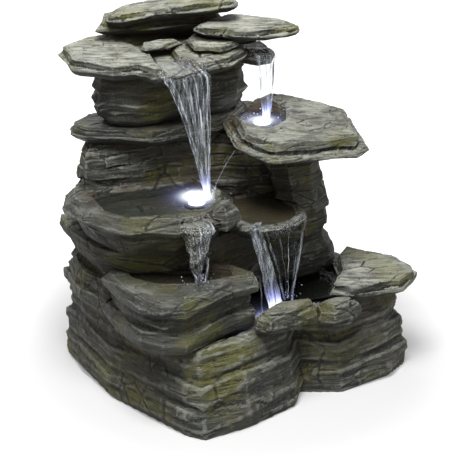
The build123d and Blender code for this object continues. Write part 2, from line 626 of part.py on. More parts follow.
def pool_stones(s):
    """The stones round the middle pools, and the shelf that holds the upper pool."""
    s["fall_stone"] = bed(
        stone(corners(FALL_STONE_AT, FALL_STONE_LENGTH, FALL_STONE_DEPTH, FALL_STONE_CORNERS),
              BOWL_TOP - SPILL_DROP - FALL_STONE_DROP, FALL_STONE_DROP, FALL_STONE_STRATA),
        s["chamber_rock"])
    s["middle_bowl"] = bed(
        stone(corners(BOWL_AT, BOWL_LENGTH, BOWL_DEPTH, BOWL_CORNERS),
              CHAMBER_TOP, BOWL_HEIGHT, BOWL_STRATA),
        s["middle_rock"])
    s["middle_basin"] = bed(
        stone(corners(BASIN_AT, BASIN_LENGTH, BASIN_DEPTH, BASIN_CORNERS),
              CHAMBER_TOP, BASIN_HEIGHT, BASIN_STRATA),
        s["middle_rock"], s["middle_bowl"])
    s["divider_stone"] = bed(
        stone(corners(DIVIDER_AT, DIVIDER_LENGTH, DIVIDER_DEPTH, DIVIDER_CORNERS),
              BOWL_TOP + DIVIDER_PROUD - DIVIDER_HEIGHT, DIVIDER_HEIGHT, ROUND_STRATA),
        s["middle_bowl"], s["fall_stone"], s["middle_basin"])
    s["right_pier"] = bed(
        stone(corners(PIER_AT, PIER_LENGTH, PIER_DEPTH, PIER_CORNERS),
              CHAMBER_TOP, MIDDLE_ROCK_HEIGHT, PIER_STRATA, PIER_LEAN),
        s["middle_rock"], s["middle_basin"])
    shelf = stone(
        corners(SHELF_AT, SHELF_LENGTH, SHELF_DEPTH, SHELF_CORNERS),
        MIDDLE_TOP - SHELF_SINK, SHELF_THICKNESS, SHELF_STRATA)
    shelf = shelf.rotate(Axis((SHELF_AT[0], SHELF_AT[1], MIDDLE_TOP), SHELF_TILT_AXIS), SHELF_TILT)
    s["upper_shelf"] = bed(shelf, s["middle_rock"], s["right_pier"], s["mid_layer"], s["upper_rock"])


def top_stones(s):
    """The top slab and the stones on it."""
    spout = corners(SPOUT_AT, SPOUT_LENGTH, SPOUT_DEPTH, SPOUT_CORNERS)
    s["spout_stone"] = bed(
        stone(spout, UPPER_TOP - SPOUT_DROP, TOP_SLAB_HEIGHT, ROUND_STRATA),
        s["upper_rock"], s["upper_shelf"])
    s["top_slab"] = bed(
        stone(corners(TOP_SLAB_AT, TOP_SLAB_LENGTH, TOP_SLAB_DEPTH, TOP_SLAB_CORNERS),
              UPPER_TOP, TOP_SLAB_HEIGHT, SLAB_STRATA),
        s["spout_stone"], prism(spout, LAYER_TOP, SECOND_TOP))
    s["second_layer"] = stone(
        corners(SECOND_LAYER_AT, SECOND_LAYER_LENGTH, SECOND_LAYER_DEPTH, SECOND_LAYER_CORNERS),
        SLAB_TOP, SECOND_LAYER_HEIGHT, SECOND_STRATA)
    cap = stone(corners(CAP_AT, CAP_LENGTH, CAP_DEPTH, CAP_CORNERS), SECOND_TOP, CAP_HEIGHT, SLAB_STRATA)
    cap = cap.rotate(Axis((CAP_AT[0], CAP_AT[1], SECOND_TOP), CAP_TILT_AXIS), -CAP_TILT)
    s["cap_stone"] = bed(cap, s["second_layer"])
    s["right_slab"] = bed(
        stone(corners(RIGHT_SLAB_AT, RIGHT_SLAB_LENGTH, RIGHT_SLAB_DEPTH, RIGHT_SLAB_CORNERS),
              SLAB_TOP + RIGHT_SLAB_GAP, RIGHT_SLAB_THICKNESS, SLAB_STRATA),
        s["second_layer"], s["cap_stone"])
    s["channel_stone"] = stone(
        corners(CHANNEL_STONE_AT, CHANNEL_STONE_LENGTH, CHANNEL_STONE_DEPTH, CHANNEL_STONE_CORNERS),
        SLAB_TOP, CHANNEL_STONE_HEIGHT, THIN_STRATA)
    s["wedge_stone"] = bed(
        stone(corners(WEDGE_AT, WEDGE_LENGTH, WEDGE_DEPTH, WEDGE_CORNERS),
              SLAB_TOP, WEDGE_HEIGHT, THIN_STRATA),
        s["channel_stone"], s["right_slab"])


def tub_space():
    """The water space of the base, which narrows from its floor to the rim."""
    points = corners((0, 0), BASE_LENGTH, BASE_DEPTH, BASE_CORNERS)
    rings = []
    for draw, z in ((WALL, TUB_FLOOR), (BASE_STRATA[-1][1] * BITE + RIM_WIDTH, BASE_HEIGHT)):
        shift = BASE_LEAN * z / BASE_HEIGHT
        rings.append([Vector(x, y + shift, z) for x, y in inset(points, draw)])
    return skin(rings)


def casting_space(points, strata, wall, bottom, height, lean=0):
    """The hollow of a casting that is open below and closed by a deck above."""
    room = height - DECK
    draw = max(bites for share, bites in strata if share * height < room) * BITE + wall
    return hollow(points, draw, bottom, room, (lean * room / height, 0))


def hatch_opening(border, start, end):
    """The space of the hatch between two depths, drawn in on all sides by a border."""
    half = HATCH_WIDTH / 2 - border
    return block(
        (HATCH_X - half, HATCH_X + half), (start, end),
        (HATCH_BOTTOM + border, HATCH_BOTTOM + HATCH_HEIGHT - border))


def riser_well(bottom, top):
    """The hole that lets the hose and the nut of the outlet through a deck."""
    return upright(HOSE_WELL, bottom, top, RISER_AT)


def carve_stones(s):
    """Hollow the castings and cut pools, wells, the hatch and the gland into the whole stones."""
    chamber = corners(CHAMBER_AT, CHAMBER_LENGTH, CHAMBER_DEPTH, CHAMBER_CORNERS)
    middle = corners(MIDDLE_ROCK_AT, MIDDLE_ROCK_LENGTH, MIDDLE_ROCK_DEPTH, MIDDLE_ROCK_CORNERS)
    upper = corners(UPPER_ROCK_AT, UPPER_ROCK_LENGTH, UPPER_ROCK_DEPTH, UPPER_ROCK_CORNERS)
    bowl_pool = dish(
        corners(BOWL_AT, BOWL_LENGTH, BOWL_DEPTH, BOWL_POOL_CORNERS),
        BOWL_FLOOR, BOWL_TOP, POOL_SLOPE)
    basin_pool = dish(
        corners(BASIN_AT, BASIN_LENGTH, BASIN_DEPTH, BASIN_POOL_CORNERS),
        BASIN_TOP - BASIN_POOL_DEPTH, BASIN_TOP, POOL_SLOPE)
    shelf_pool = dish(
        corners(SHELF_AT, SHELF_LENGTH, SHELF_DEPTH, SHELF_POOL_CORNERS),
        SHELF_FLOOR, LAYER_TOP + SHELF_THICKNESS, POOL_SLOPE)
    ledge_pool = dish(
        corners(LEDGE_AT, LEDGE_LENGTH, LEDGE_DEPTH, LEDGE_POOL_CORNERS),
        LEDGE_TOP - LEDGE_POOL_DEPTH, LEDGE_TOP, POOL_SLOPE)
    channel = dish(
        corners(TOP_SLAB_AT, TOP_SLAB_LENGTH, TOP_SLAB_DEPTH, BASIN_ARM_CORNERS),
        CHANNEL_FLOOR, SLAB_TOP, POOL_SLOPE)
    spout_channel = prism(
        corners(SPOUT_AT, SPOUT_LENGTH, SPOUT_DEPTH, SPOUT_CHANNEL_CORNERS),
        CHANNEL_FLOOR - SPOUT_STEP, SECOND_TOP)
    s["rear_hatch"] = rear_hatch(s["chamber_rock"])
    s["base_rock"] = bed(s["base_rock"], tub_space())
    s["chamber_rock"] = bed(
        s["chamber_rock"],
        casting_space(chamber, CHAMBER_STRATA, CHAMBER_WALL, RIM, CHAMBER_HEIGHT, CHAMBER_LEAN),
        hatch_opening(0, HATCH_SEAT, BEHIND),
        hatch_opening(HATCH_REBATE, CHAMBER_AT[1], BEHIND),
        along_y(GLAND_RADIUS, CHAMBER_AT[1], BEHIND, GLAND_X, GLAND_Z),
        along_y(GLAND_RADIUS + GLAND_FLANGE, CHAMBER_AT[1], GLAND_INSIDE, GLAND_X, GLAND_Z),
        along_y(GLAND_RADIUS + GLAND_FLANGE, GLAND_OUTSIDE, BEHIND, GLAND_X, GLAND_Z),
        riser_well(RIM, CHAMBER_TOP),
        upright(LEAD_HOLE, RIM, CHAMBER_TOP, MIDDLE_LIGHT_AT))
    s["middle_rock"] = bed(
        s["middle_rock"],
        casting_space(middle, MIDDLE_ROCK_STRATA, WALL, CHAMBER_TOP, MIDDLE_ROCK_HEIGHT),
        riser_well(CHAMBER_TOP, MIDDLE_TOP))
    s["mid_layer"] = bed(s["mid_layer"], riser_well(MIDDLE_TOP, LAYER_TOP))
    s["upper_rock"] = bed(
        s["upper_rock"], casting_space(upper, ROCK_STRATA, WALL, LAYER_TOP, UPPER_ROCK_HEIGHT),
        riser_well(LAYER_TOP, UPPER_TOP))
    s["middle_bowl"] = bed(
        s["middle_bowl"], s["fall_stone"], bowl_pool,
        upright(LIGHT_WELL, CHAMBER_TOP, BOWL_TOP, MIDDLE_LIGHT_AT))
    s["middle_basin"] = bed(s["middle_basin"], basin_pool)
    light_well = upright(LIGHT_WELL, SHELF_FLOOR - LIGHT_DEPTH, LAYER_TOP, UPPER_LIGHT_AT)
    s["right_pier"] = bed(s["right_pier"], light_well)
    s["upper_shelf"] = bed(s["upper_shelf"], shelf_pool, light_well)
    s["front_left_ledge"] = bed(s["front_left_ledge"], ledge_pool)
    s["top_slab"] = bed(
        s["top_slab"], channel, upright(OUTLET_SHANK + OUTLET_FIT, UPPER_TOP, SLAB_TOP, RISER_AT))
    s["spout_stone"] = bed(s["spout_stone"], spout_channel)


def rear_hatch(chamber):
    """The hatch: a piece of the chamber's own wall, with a finger slot near its top."""
    panel = chamber & hatch_opening(HATCH_CLEARANCE, HATCH_SEAT + HATCH_SEAL, BEHIND)
    top = HATCH_BOTTOM + HATCH_HEIGHT - FINGER_HEIGHT
    slot = block(
        (HATCH_X - FINGER_WIDTH / 2, HATCH_X + FINGER_WIDTH / 2),
        (HATCH_SEAT + HATCH_SEAL + FINGER_DEPTH, BEHIND), (top - FINGER_HEIGHT, top))
    return main_solid(main_solid(panel) - slot)


def hatch_seal():
    """The flat rubber frame between the hatch and its rebate."""
    frame = hatch_opening(HATCH_CLEARANCE, HATCH_SEAT, HATCH_SEAT + HATCH_SEAL)
    return main_solid(frame - hatch_opening(HATCH_REBATE, HATCH_SEAT, HATCH_SEAT + HATCH_SEAL))


def cable_gland():
    """A rubber gland with a flange on each face of the wall."""
    flange = GLAND_RADIUS + GLAND_FLANGE
    gland = along_y(GLAND_RADIUS, GLAND_INSIDE, GLAND_OUTSIDE, GLAND_X, GLAND_Z)
    gland += along_y(flange, GLAND_INSIDE - GLAND_FLANGE_THICKNESS, GLAND_INSIDE, GLAND_X, GLAND_Z)
    gland += along_y(flange, GLAND_OUTSIDE, GLAND_OUTSIDE + GLAND_FLANGE_THICKNESS, GLAND_X, GLAND_Z)
    return main_solid(gland - along_y(GLAND_BORE, CHAMBER_AT[1], BEHIND, GLAND_X, GLAND_Z))


def pump_body():
    """The motor block, bored for the cover, the impeller, the rotor and the outlet."""
    x = RISER_AT[0]
    half = PUMP_WIDTH / 2
    body = block((x - half, x + half), (PUMP_FRONT, PUMP_REAR), (PUMP_BOTTOM, PUMP_TOP))
    body = body.fillet(PUMP_EDGE, body.edges().filter_by(Axis.Y))
    return bed(
        body,
        along_y(COVER_RADIUS + COVER_FIT, PUMP_FRONT, PUMP_FRONT + COVER_THICKNESS, x, PUMP_AXIS),
        along_y(IMPELLER_RADIUS + IMPELLER_GAP, PUMP_FRONT, ROTOR_START, x, PUMP_AXIS),
        along_y(MAGNET_RADIUS + MAGNET_GAP, PUMP_FRONT, ROTOR_END, x, PUMP_AXIS),
        along_y(BUSH_RADIUS, PUMP_FRONT, ROTOR_END + BUSH_LENGTH, x, PUMP_AXIS),
        upright(ADAPTOR_BORE, PUMP_AXIS, PUMP_TOP, RISER_AT),
        upright(HOSE_BORE, PUMP_TOP - ADAPTOR_SOCKET, PUMP_TOP, RISER_AT))


def volute_cover():
    """The round cover of the impeller, with a bush boss held by ribs across its inlet."""
    x = RISER_AT[0]
    end = PUMP_FRONT + COVER_THICKNESS
    cover = along_y(COVER_RADIUS, PUMP_FRONT, end, x, PUMP_AXIS)
    cover -= along_y(EYE_RADIUS, PUMP_FRONT, end, x, PUMP_AXIS)
    cover += along_y(BUSH_RADIUS + BUSH_SEAT, PUMP_FRONT, end, x, PUMP_AXIS)
    rib_end = PUMP_AXIS + (EYE_RADIUS + COVER_RADIUS) / 2
    rib = block((x - EYE_RIB / 2, x + EYE_RIB / 2), (PUMP_FRONT, end), (PUMP_AXIS, rib_end))
    for k in range(EYE_RIBS):
        cover += rib.rotate(Axis((x, 0, PUMP_AXIS), (0, 1, 0)), k * 360 / EYE_RIBS)
    return main_solid(cover - along_y(BUSH_RADIUS, PUMP_FRONT, end, x, PUMP_AXIS))


def impeller():
    """The vaned wheel on its hub, with a back plate towards the rotor."""
    x = RISER_AT[0]
    end = IMPELLER_START + IMPELLER_WIDTH
    wheel = along_y(HUB_RADIUS, IMPELLER_START, end, x, PUMP_AXIS)
    wheel += along_y(IMPELLER_RADIUS, end - BACK_PLATE, end, x, PUMP_AXIS)
    vane = block(
        (x - VANE_THICKNESS / 2, x + VANE_THICKNESS / 2), (IMPELLER_START, end),
        (PUMP_AXIS, PUMP_AXIS + IMPELLER_RADIUS - IMPELLER_GAP / 2))
    for k in range(VANES):
        wheel += vane.rotate(Axis((x, 0, PUMP_AXIS), (0, 1, 0)), k * 360 / VANES)
    return main_solid(wheel - along_y(SHAFT_RADIUS + RUNNING_FIT, IMPELLER_START, end, x, PUMP_AXIS))


def rotor_magnet():
    """The round magnet behind the impeller."""
    x = RISER_AT[0]
    start = IMPELLER_START + IMPELLER_WIDTH
    end = start + MAGNET_LENGTH
    magnet = along_y(MAGNET_RADIUS, start, end, x, PUMP_AXIS)
    return main_solid(magnet - along_y(SHAFT_RADIUS + RUNNING_FIT, start, end, x, PUMP_AXIS))


def shaft_bush(start):
    """A rubber bush that holds one end of the shaft."""
    x = RISER_AT[0]
    bush = along_y(BUSH_RADIUS, start, start + BUSH_LENGTH, x, PUMP_AXIS)
    return main_solid(bush - along_y(SHAFT_RADIUS, start, start + BUSH_LENGTH, x, PUMP_AXIS))


def strainer():
    """The slotted inlet box in front of the pump, with the hole of the flow dial."""
    x = RISER_AT[0]
    half = PUMP_WIDTH / 2
    front = PUMP_FRONT - STRAINER_LENGTH
    box = block((x - half, x + half), (front, PUMP_FRONT), (PUMP_BOTTOM, PUMP_TOP))
    box = box.fillet(PUMP_EDGE, box.edges().filter_by(Axis.Y))
    inner = half - STRAINER_WALL
    room = block(
        (x - inner, x + inner), (front + STRAINER_WALL, PUMP_FRONT),
        (PUMP_BOTTOM + STRAINER_WALL, PUMP_TOP - STRAINER_WALL))
    box = main_solid(box - room)
    box = bed(box, along_y(DIAL_STEM + DIAL_PLAY, front, front + STRAINER_WALL, x, PUMP_AXIS))
    for side in (-1, 1):
        for k in range(STRAINER_SLOTS):
            middle = x + side * (DIAL_RADIUS + STRAINER_SLOT + k * STRAINER_PITCH)
            slot = block(
                (middle - STRAINER_SLOT / 2, middle + STRAINER_SLOT / 2), (front, front + STRAINER_WALL),
                (PUMP_BOTTOM + STRAINER_SLOT_MARGIN, PUMP_TOP - STRAINER_SLOT_MARGIN))
            box = bed(box, slot)
    return box


def flow_dial():
    """The dial on the front of the strainer, with a pointer rib and a retainer behind the wall."""
    x = RISER_AT[0]
    face = PUMP_FRONT - STRAINER_LENGTH - DIAL_PLAY
    inside = face + STRAINER_WALL + 2 * DIAL_PLAY
    dial = along_y(DIAL_RADIUS, face - DIAL_HEIGHT, face, x, PUMP_AXIS)
    dial += along_y(DIAL_STEM, face, inside, x, PUMP_AXIS)
    dial += along_y(DIAL_RETAINER, inside, inside + DIAL_POINTER, x, PUMP_AXIS)
    front = face - DIAL_HEIGHT
    dial += block(
        (x - DIAL_POINTER / 2, x + DIAL_POINTER / 2), (front - DIAL_POINTER, front),
        (PUMP_AXIS - DIAL_RADIUS / 2, PUMP_AXIS + DIAL_RADIUS))
    return main_solid(dial)


def pump_feet():
    """Four suction feet under the corners of the pump."""
    neck = FOOT_RADIUS / 2
    profile = ((0, 0), (FOOT_RADIUS, 0), (neck, neck), (neck, FOOT_HEIGHT), (0, FOOT_HEIGHT))
    reach = PUMP_WIDTH / 2 - FOOT_RADIUS
    feet = []
    for x in (RISER_AT[0] - reach, RISER_AT[0] + reach):
        for y in (PUMP_FRONT + FOOT_RADIUS, PUMP_REAR - FOOT_RADIUS):
            feet.append(turned(profile, (x, y), TUB_FLOOR))
    return Compound(feet)


def hose_adaptor():
    """The collared tail that plugs into the pump and into the hose."""
    radius = HOSE_BORE - HOSE_FIT
    tail = upright(radius, PUMP_TOP - ADAPTOR_SOCKET, HOSE_BOTTOM + ADAPTOR_BARB, RISER_AT)
    tail += upright(ADAPTOR_COLLAR_RADIUS, PUMP_TOP, HOSE_BOTTOM, RISER_AT)
    return main_solid(tail - upright(ADAPTOR_BORE, PUMP_BOTTOM, UPPER_TOP, RISER_AT))


def outlet_nozzle():
    """The flanged outlet in the top basin, with a shank through the slab and a tail in the hose."""
    flange = CHANNEL_FLOOR + OUTLET_SEAL
    nozzle = upright(OUTLET_FLANGE, flange, flange + OUTLET_FLANGE_HEIGHT, RISER_AT)
    nozzle += upright(OUTLET_SHANK, HOSE_TOP, flange, RISER_AT)
    nozzle += upright(HOSE_BORE - HOSE_FIT, HOSE_TOP - OUTLET_TAIL, HOSE_TOP, RISER_AT)
    return main_solid(nozzle - upright(OUTLET_BORE, CHAMBER_TOP, SECOND_TOP, RISER_AT))


def outlet_nut():
    """The six-sided nut that draws the outlet down on its seal from below the slab."""
    hexagon = Pos(*RISER_AT, UPPER_TOP - OUTLET_NUT_HEIGHT) * RegularPolygon(OUTLET_NUT, 6)
    nut = extrude(hexagon, OUTLET_NUT_HEIGHT)
    return main_solid(nut - upright(OUTLET_SHANK, LAYER_TOP, SLAB_TOP, RISER_AT))


def hose_clips():
    """A spring clip near each end of the hose."""
    middles = (HOSE_BOTTOM + ADAPTOR_BARB / 2, HOSE_TOP - OUTLET_TAIL / 2)
    return Compound([
        tube(HOSE_RADIUS + CLIP_THICKNESS, HOSE_RADIUS, z - CLIP_HEIGHT / 2, z + CLIP_HEIGHT / 2, RISER_AT)
        for z in middles])


def light_housing(at, floor):
    """The cup of a pool light, with a flange above the pool floor and a step for the lens."""
    rim = LIGHT_SEAL + LIGHT_RIM
    mouth = LIGHT_RADIUS - LIGHT_WALL
    seat = rim - LENS_HEIGHT
    flange = LIGHT_RADIUS + LIGHT_FLANGE
    inner = mouth - LENS_SEAT
    cup_floor = LIGHT_WALL - LIGHT_DEPTH
    profile = (
        (0, -LIGHT_DEPTH), (LIGHT_RADIUS, -LIGHT_DEPTH), (LIGHT_RADIUS, LIGHT_SEAL), (flange, LIGHT_SEAL),
        (flange, rim), (mouth, rim), (mouth, seat), (inner, seat), (inner, cup_floor), (0, cup_floor))
    return turned(profile, at, floor)


def light_lens(at, floor):
    """The clear crowned lens in the mouth of a pool light."""
    radius = LIGHT_RADIUS - LIGHT_WALL - LIGHT_FIT / 2
    rim = LIGHT_SEAL + LIGHT_RIM
    shoulder = (radius * LENS_SHOULDER, rim + LENS_CROWN * LENS_SHOULDER)
    seat = rim - LENS_HEIGHT
    profile = ((0, seat), (radius, seat), (radius, rim), shoulder, (0, rim + LENS_CROWN))
    return turned(profile, at, floor)


def light_board(at, floor):
    """The round board of a pool light, with its chips in a ring."""
    level = floor + LIGHT_WALL - LIGHT_DEPTH
    top = level + BOARD_THICKNESS
    board = upright(LIGHT_RADIUS - LIGHT_WALL - LENS_SEAT - LIGHT_FIT / 2, level, top, at)
    for k in range(CHIPS):
        chip = block(
            (CHIP_RING - CHIP_SIDE / 2, CHIP_RING + CHIP_SIDE / 2), (-CHIP_SIDE / 2, CHIP_SIDE / 2),
            (top, top + CHIP_HEIGHT))
        board += Pos(at[0], at[1], 0) * chip.rotate(Axis.Z, k * 360 / CHIPS)
    return main_solid(board)


def light_seal(at, floor):
    """The rubber ring under the flange of a pool light."""
    return tube(LIGHT_RADIUS + LIGHT_FLANGE, LIGHT_RADIUS, floor, floor + LIGHT_SEAL, at)


def lower_light_stand():
    """The short stand that lifts the lower light off the floor of the tub."""
    stand = upright(STAND_RADIUS, TUB_FLOOR, STAND_LEVEL, LOWER_LIGHT_AT)
    stand -= upright(STAND_RADIUS - STAND_WALL, TUB_FLOOR, STAND_LEVEL - STAND_TOP, LOWER_LIGHT_AT)
    stand -= upright(LIGHT_WELL, TUB_FLOOR, STAND_LEVEL, LOWER_LIGHT_AT)
    x, y = LOWER_LIGHT_AT
    window = TUB_FLOOR + (STAND_HEIGHT - STAND_TOP) / 2
    stand -= along_y(STAND_WINDOW, y - STAND_RADIUS, y + STAND_RADIUS, x, window)
    return main_solid(stand)


def lights():
    """The three pool lights, each in four pieces."""
    pieces = {}
    places = (
        ("upper_light", UPPER_LIGHT_AT, SHELF_FLOOR), ("middle_light", MIDDLE_LIGHT_AT, BOWL_FLOOR),
        ("lower_light", LOWER_LIGHT_AT, STAND_LEVEL))
    for name, at, floor in places:
        pieces[f"{name}_housing"] = light_housing(at, floor)
        pieces[f"{name}_lens"] = light_lens(at, floor)
        pieces[f"{name}_board"] = light_board(at, floor)
        pieces[f"{name}_seal"] = light_seal(at, floor)
    pieces["lower_light_stand"] = lower_light_stand()
    return pieces


def pump_pieces():
    """The pump, the hose that rises from it and the outlet in the top basin."""
    x = RISER_AT[0]
    seal_level = CHANNEL_FLOOR + OUTLET_SEAL
    return {
        "pump_body": pump_body(),
        "pump_feet": pump_feet(),
        "volute_cover": volute_cover(),
        "impeller": impeller(),
        "rotor_magnet": rotor_magnet(),
        "impeller_shaft": along_y(SHAFT_RADIUS, PUMP_FRONT, ROTOR_END + BUSH_LENGTH, x, PUMP_AXIS),
        "shaft_bushes": Compound([shaft_bush(PUMP_FRONT), shaft_bush(ROTOR_END)]),
        "strainer": strainer(),
        "flow_dial": flow_dial(),
        "hose_adaptor": hose_adaptor(),
        "riser_hose": tube(HOSE_RADIUS, HOSE_BORE, HOSE_BOTTOM, HOSE_TOP, RISER_AT),
        "hose_clips": hose_clips(),
        "outlet_nozzle": outlet_nozzle(),
        "outlet_seal": tube(OUTLET_FLANGE, OUTLET_SHANK + OUTLET_FIT, CHANNEL_FLOOR, seal_level, RISER_AT),
        "outlet_nut": outlet_nut(),
    }


def fountain():
    """Every piece of the fountain by name."""
    pieces = whole_stones()
    carve_stones(pieces)
    pieces["hatch_seal"] = hatch_seal()
    pieces["cable_gland"] = cable_gland()
    pieces.update(pump_pieces())
    pieces.update(lights())
    return pieces


if __name__ == "__main__":
    os.makedirs("parts", exist_ok=True)
    for name, shape in fountain().items():
        export_step(shape, f"parts/{name}.step")
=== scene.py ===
"""Looks of the cascade fountain: weathered slate stones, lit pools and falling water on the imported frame."""
import json
import math
import random

import bmesh
import bpy
from bpy.props import FloatProperty, FloatVectorProperty, IntProperty, PointerProperty
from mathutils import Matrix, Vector
from mathutils.bvhtree import BVHTree


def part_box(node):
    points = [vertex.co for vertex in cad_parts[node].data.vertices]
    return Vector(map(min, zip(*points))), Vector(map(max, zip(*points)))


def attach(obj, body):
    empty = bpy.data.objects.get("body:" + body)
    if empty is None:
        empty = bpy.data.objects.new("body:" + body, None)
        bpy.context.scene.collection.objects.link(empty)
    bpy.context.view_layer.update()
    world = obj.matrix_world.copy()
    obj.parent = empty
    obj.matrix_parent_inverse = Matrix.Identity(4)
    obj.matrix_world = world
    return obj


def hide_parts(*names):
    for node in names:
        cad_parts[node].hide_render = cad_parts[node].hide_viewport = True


bl_info = {
    "name": "Cascade fountain looks",
    "version": (1, 0, 0),
    "blender": (4, 5, 0),
    "location": "View3D > Sidebar > Fountain",
    "description": "Slate stones, lit pools and falling water on the frame of a cascade fountain",
    "category": "Object",
}

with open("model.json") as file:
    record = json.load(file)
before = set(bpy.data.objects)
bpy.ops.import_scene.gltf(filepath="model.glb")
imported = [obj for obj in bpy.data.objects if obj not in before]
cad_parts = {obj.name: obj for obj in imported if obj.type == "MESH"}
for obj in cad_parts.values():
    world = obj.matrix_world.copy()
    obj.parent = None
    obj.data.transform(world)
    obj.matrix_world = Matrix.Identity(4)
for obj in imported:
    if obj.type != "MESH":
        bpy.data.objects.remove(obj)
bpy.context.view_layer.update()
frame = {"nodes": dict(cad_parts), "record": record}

STONES = (
    "base_rock", "chamber_rock", "left_course", "front_left_ledge", "right_ledge", "rim_stone_left",
    "rim_stone_right", "fall_stone", "middle_bowl", "middle_basin", "divider_stone", "right_pier",
    "middle_rock", "mid_layer", "upper_rock", "upper_shelf", "spout_stone", "top_slab", "second_layer",
    "cap_stone", "right_slab", "channel_stone", "wedge_stone", "rear_hatch")
# Stones that spray keeps wet, each with how far that darkens it and takes away its pale, dusty top and painted top
# light
SOAKED = {
    "front_left_ledge": 0.75, "left_course": 0.6, "middle_bowl": 0.85, "middle_basin": 0.5, "divider_stone": 0.6,
    "base_rock": 0.25, "mid_layer": 0.85, "rim_stone_left": 0.45, "rim_stone_right": 0.45, "fall_stone": 0.5,
    "upper_shelf": 0.25}
# Courses without beds of their own, each with how much deeper their layers are cut
DEEPER = {"middle_rock": 3.0, "mid_layer": 2.3}
# Lights, each with the pool that it shines in
LIGHTS = {"upper_light": "shelf_pool", "middle_light": "middle_pool", "lower_light": "lower_pool"}

# Falls: where the water comes from, its lip and where it lands, each as the two ends of a line, in metres
FALL_ENDS = ("Source A", "Source B", "Lip A", "Lip B", "Landing A", "Landing B")
FALLS = {
    "left_fall": (
        (-0.122, 0.03, 0.51), (-0.086, 0.03, 0.51), (-0.142, -0.027, 0.498), (-0.07, -0.041, 0.498),
        (-0.079, -0.036, 0.3095), (-0.071, -0.036, 0.3095)),
    "right_fall": (
        (0.04, 0.02, 0.506), (0.058, 0.02, 0.506), (0.026, -0.018, 0.503), (0.066, -0.018, 0.503),
        (0.038, -0.022, 0.4015), (0.046, -0.026, 0.4015)),
    "ledge_fall": (
        (-0.155, -0.088, 0.311), (-0.124, -0.088, 0.311), (-0.162, -0.112, 0.311), (-0.117, -0.116, 0.311),
        (-0.144, -0.104, 0.207), (-0.126, -0.104, 0.207)),
    "basin_fall": (
        (-0.03, -0.094, 0.2785), (-0.02, -0.098, 0.2785), (-0.056, -0.11, 0.2785), (-0.042, -0.119, 0.2785),
        (-0.013, -0.116, 0.118), (0.009, -0.118, 0.118)),
    "basin_sheet": (
        (-0.02, -0.104, 0.2785), (0.04, -0.108, 0.2785), (-0.04, -0.123, 0.277), (0.047, -0.121, 0.277),
        (0.008, -0.118, 0.15), (0.024, -0.116, 0.15)),
    "thin_fall": (
        (0.048, -0.11, 0.2785), (0.051, -0.108, 0.2785), (0.049, -0.118, 0.2785), (0.052, -0.116, 0.2785),
        (0.018, -0.114, 0.118), (0.026, -0.112, 0.118)),
    "ledge_trickle": (
        (-0.062, -0.136, 0.211), (-0.058, -0.132, 0.211), (-0.05, -0.132, 0.208), (-0.047, -0.128, 0.208),
        (-0.034, -0.12, 0.118), (-0.03, -0.116, 0.118)),
    "shelf_trickle": (
        (-0.016, -0.05, 0.396), (-0.014, -0.046, 0.396), (-0.04, -0.06, 0.384), (-0.037, -0.056, 0.384),
        (-0.062, -0.03, 0.3095), (-0.056, -0.026, 0.3095)),
}
STRANDS = {
    "left_fall": 26, "right_fall": 30, "ledge_fall": 34, "basin_fall": 34, "basin_sheet": 10, "thin_fall": 3,
    "ledge_trickle": 5, "shelf_trickle": 3}
FILMS = ("left_fall", "right_fall", "basin_fall")
# Share that whitens a fall's strands, and the falls that are clearer than the others
WHITE = 0.4
CLEARER = {"right_fall": 0.0, "basin_sheet": -0.05}
# Share of the glow's reach, where a fall is lit further up or less far than the others
LIT_SHARE = {"right_fall": 0.75, "basin_fall": 1.45, "thin_fall": 1.2, "ledge_trickle": 1.2}
# Falls that run down a stone instead of dropping clear of it
CLINGING = {"ledge_fall": "fall_stone"}
# Share of a fall's length before its lip, how its drop quickens, and the shares that its film glows and shows
FALL_RUN, FALL_CURVE = 0.3, 1.35
FILM_GLOW, FILM_TINT = 0.35, 0.6
# How far in front of a fall its stone is looked for, how deep, and the gap that is left to it, in metres
CLING_FRONT, CLING_REACH, CLING_GAP = 0.06, 0.085, 0.0012
# Drops about a landing: how far and high they are thrown, and their radius, in metres
DROP_REACH, DROP_HEIGHT, DROP_RADIUS = 0.035, 0.018, 0.0013
DROPS_PER_STRAND = 2
# Steps between the seeds of the falls, and from there to the seeds of their drops
FALL_SEEDS, DROP_SEEDS = 10, 50

# Pools: a point in each and its water level, in metres
POOLS = {
    "middle_pool": (-0.13, -0.02, 0.3095),
    "basin_pool": (0.01, -0.06, 0.2755),
    "shelf_pool": (0.032, -0.014, 0.4015),
    "ledge_pool": (-0.13, -0.082, 0.207),
    "lower_pool": (0.0, -0.06, 0.118),
}
# How far the full light of a lamp spreads in its pool, in metres, and the pools that are brown with silt
SPREAD = {"middle_pool": 0.015, "shelf_pool": 0.007, "lower_pool": 0.014}
SILTED = {"basin_pool": 1.0, "ledge_pool": 0.7}
POOL_SPOKES, POOL_RINGS = 96, 22
# How far off a pool's stones may be, its reach where there is none, into the stones and down, in metres
POOL_REACH, POOL_OPEN, POOL_BURY, POOL_DEPTH = 0.20, 0.03, 0.004, 0.002
# Rings about a landing: their height, how close they are and how far they run, and how near a fall's landing is
RING_HEIGHT, RING_RATE, RING_FADE, RING_LEVEL = 0.0016, 520, 0.03, 0.01
# How fast a lamp's light fades in a pool, in metres
GLOW_FADE = 0.013

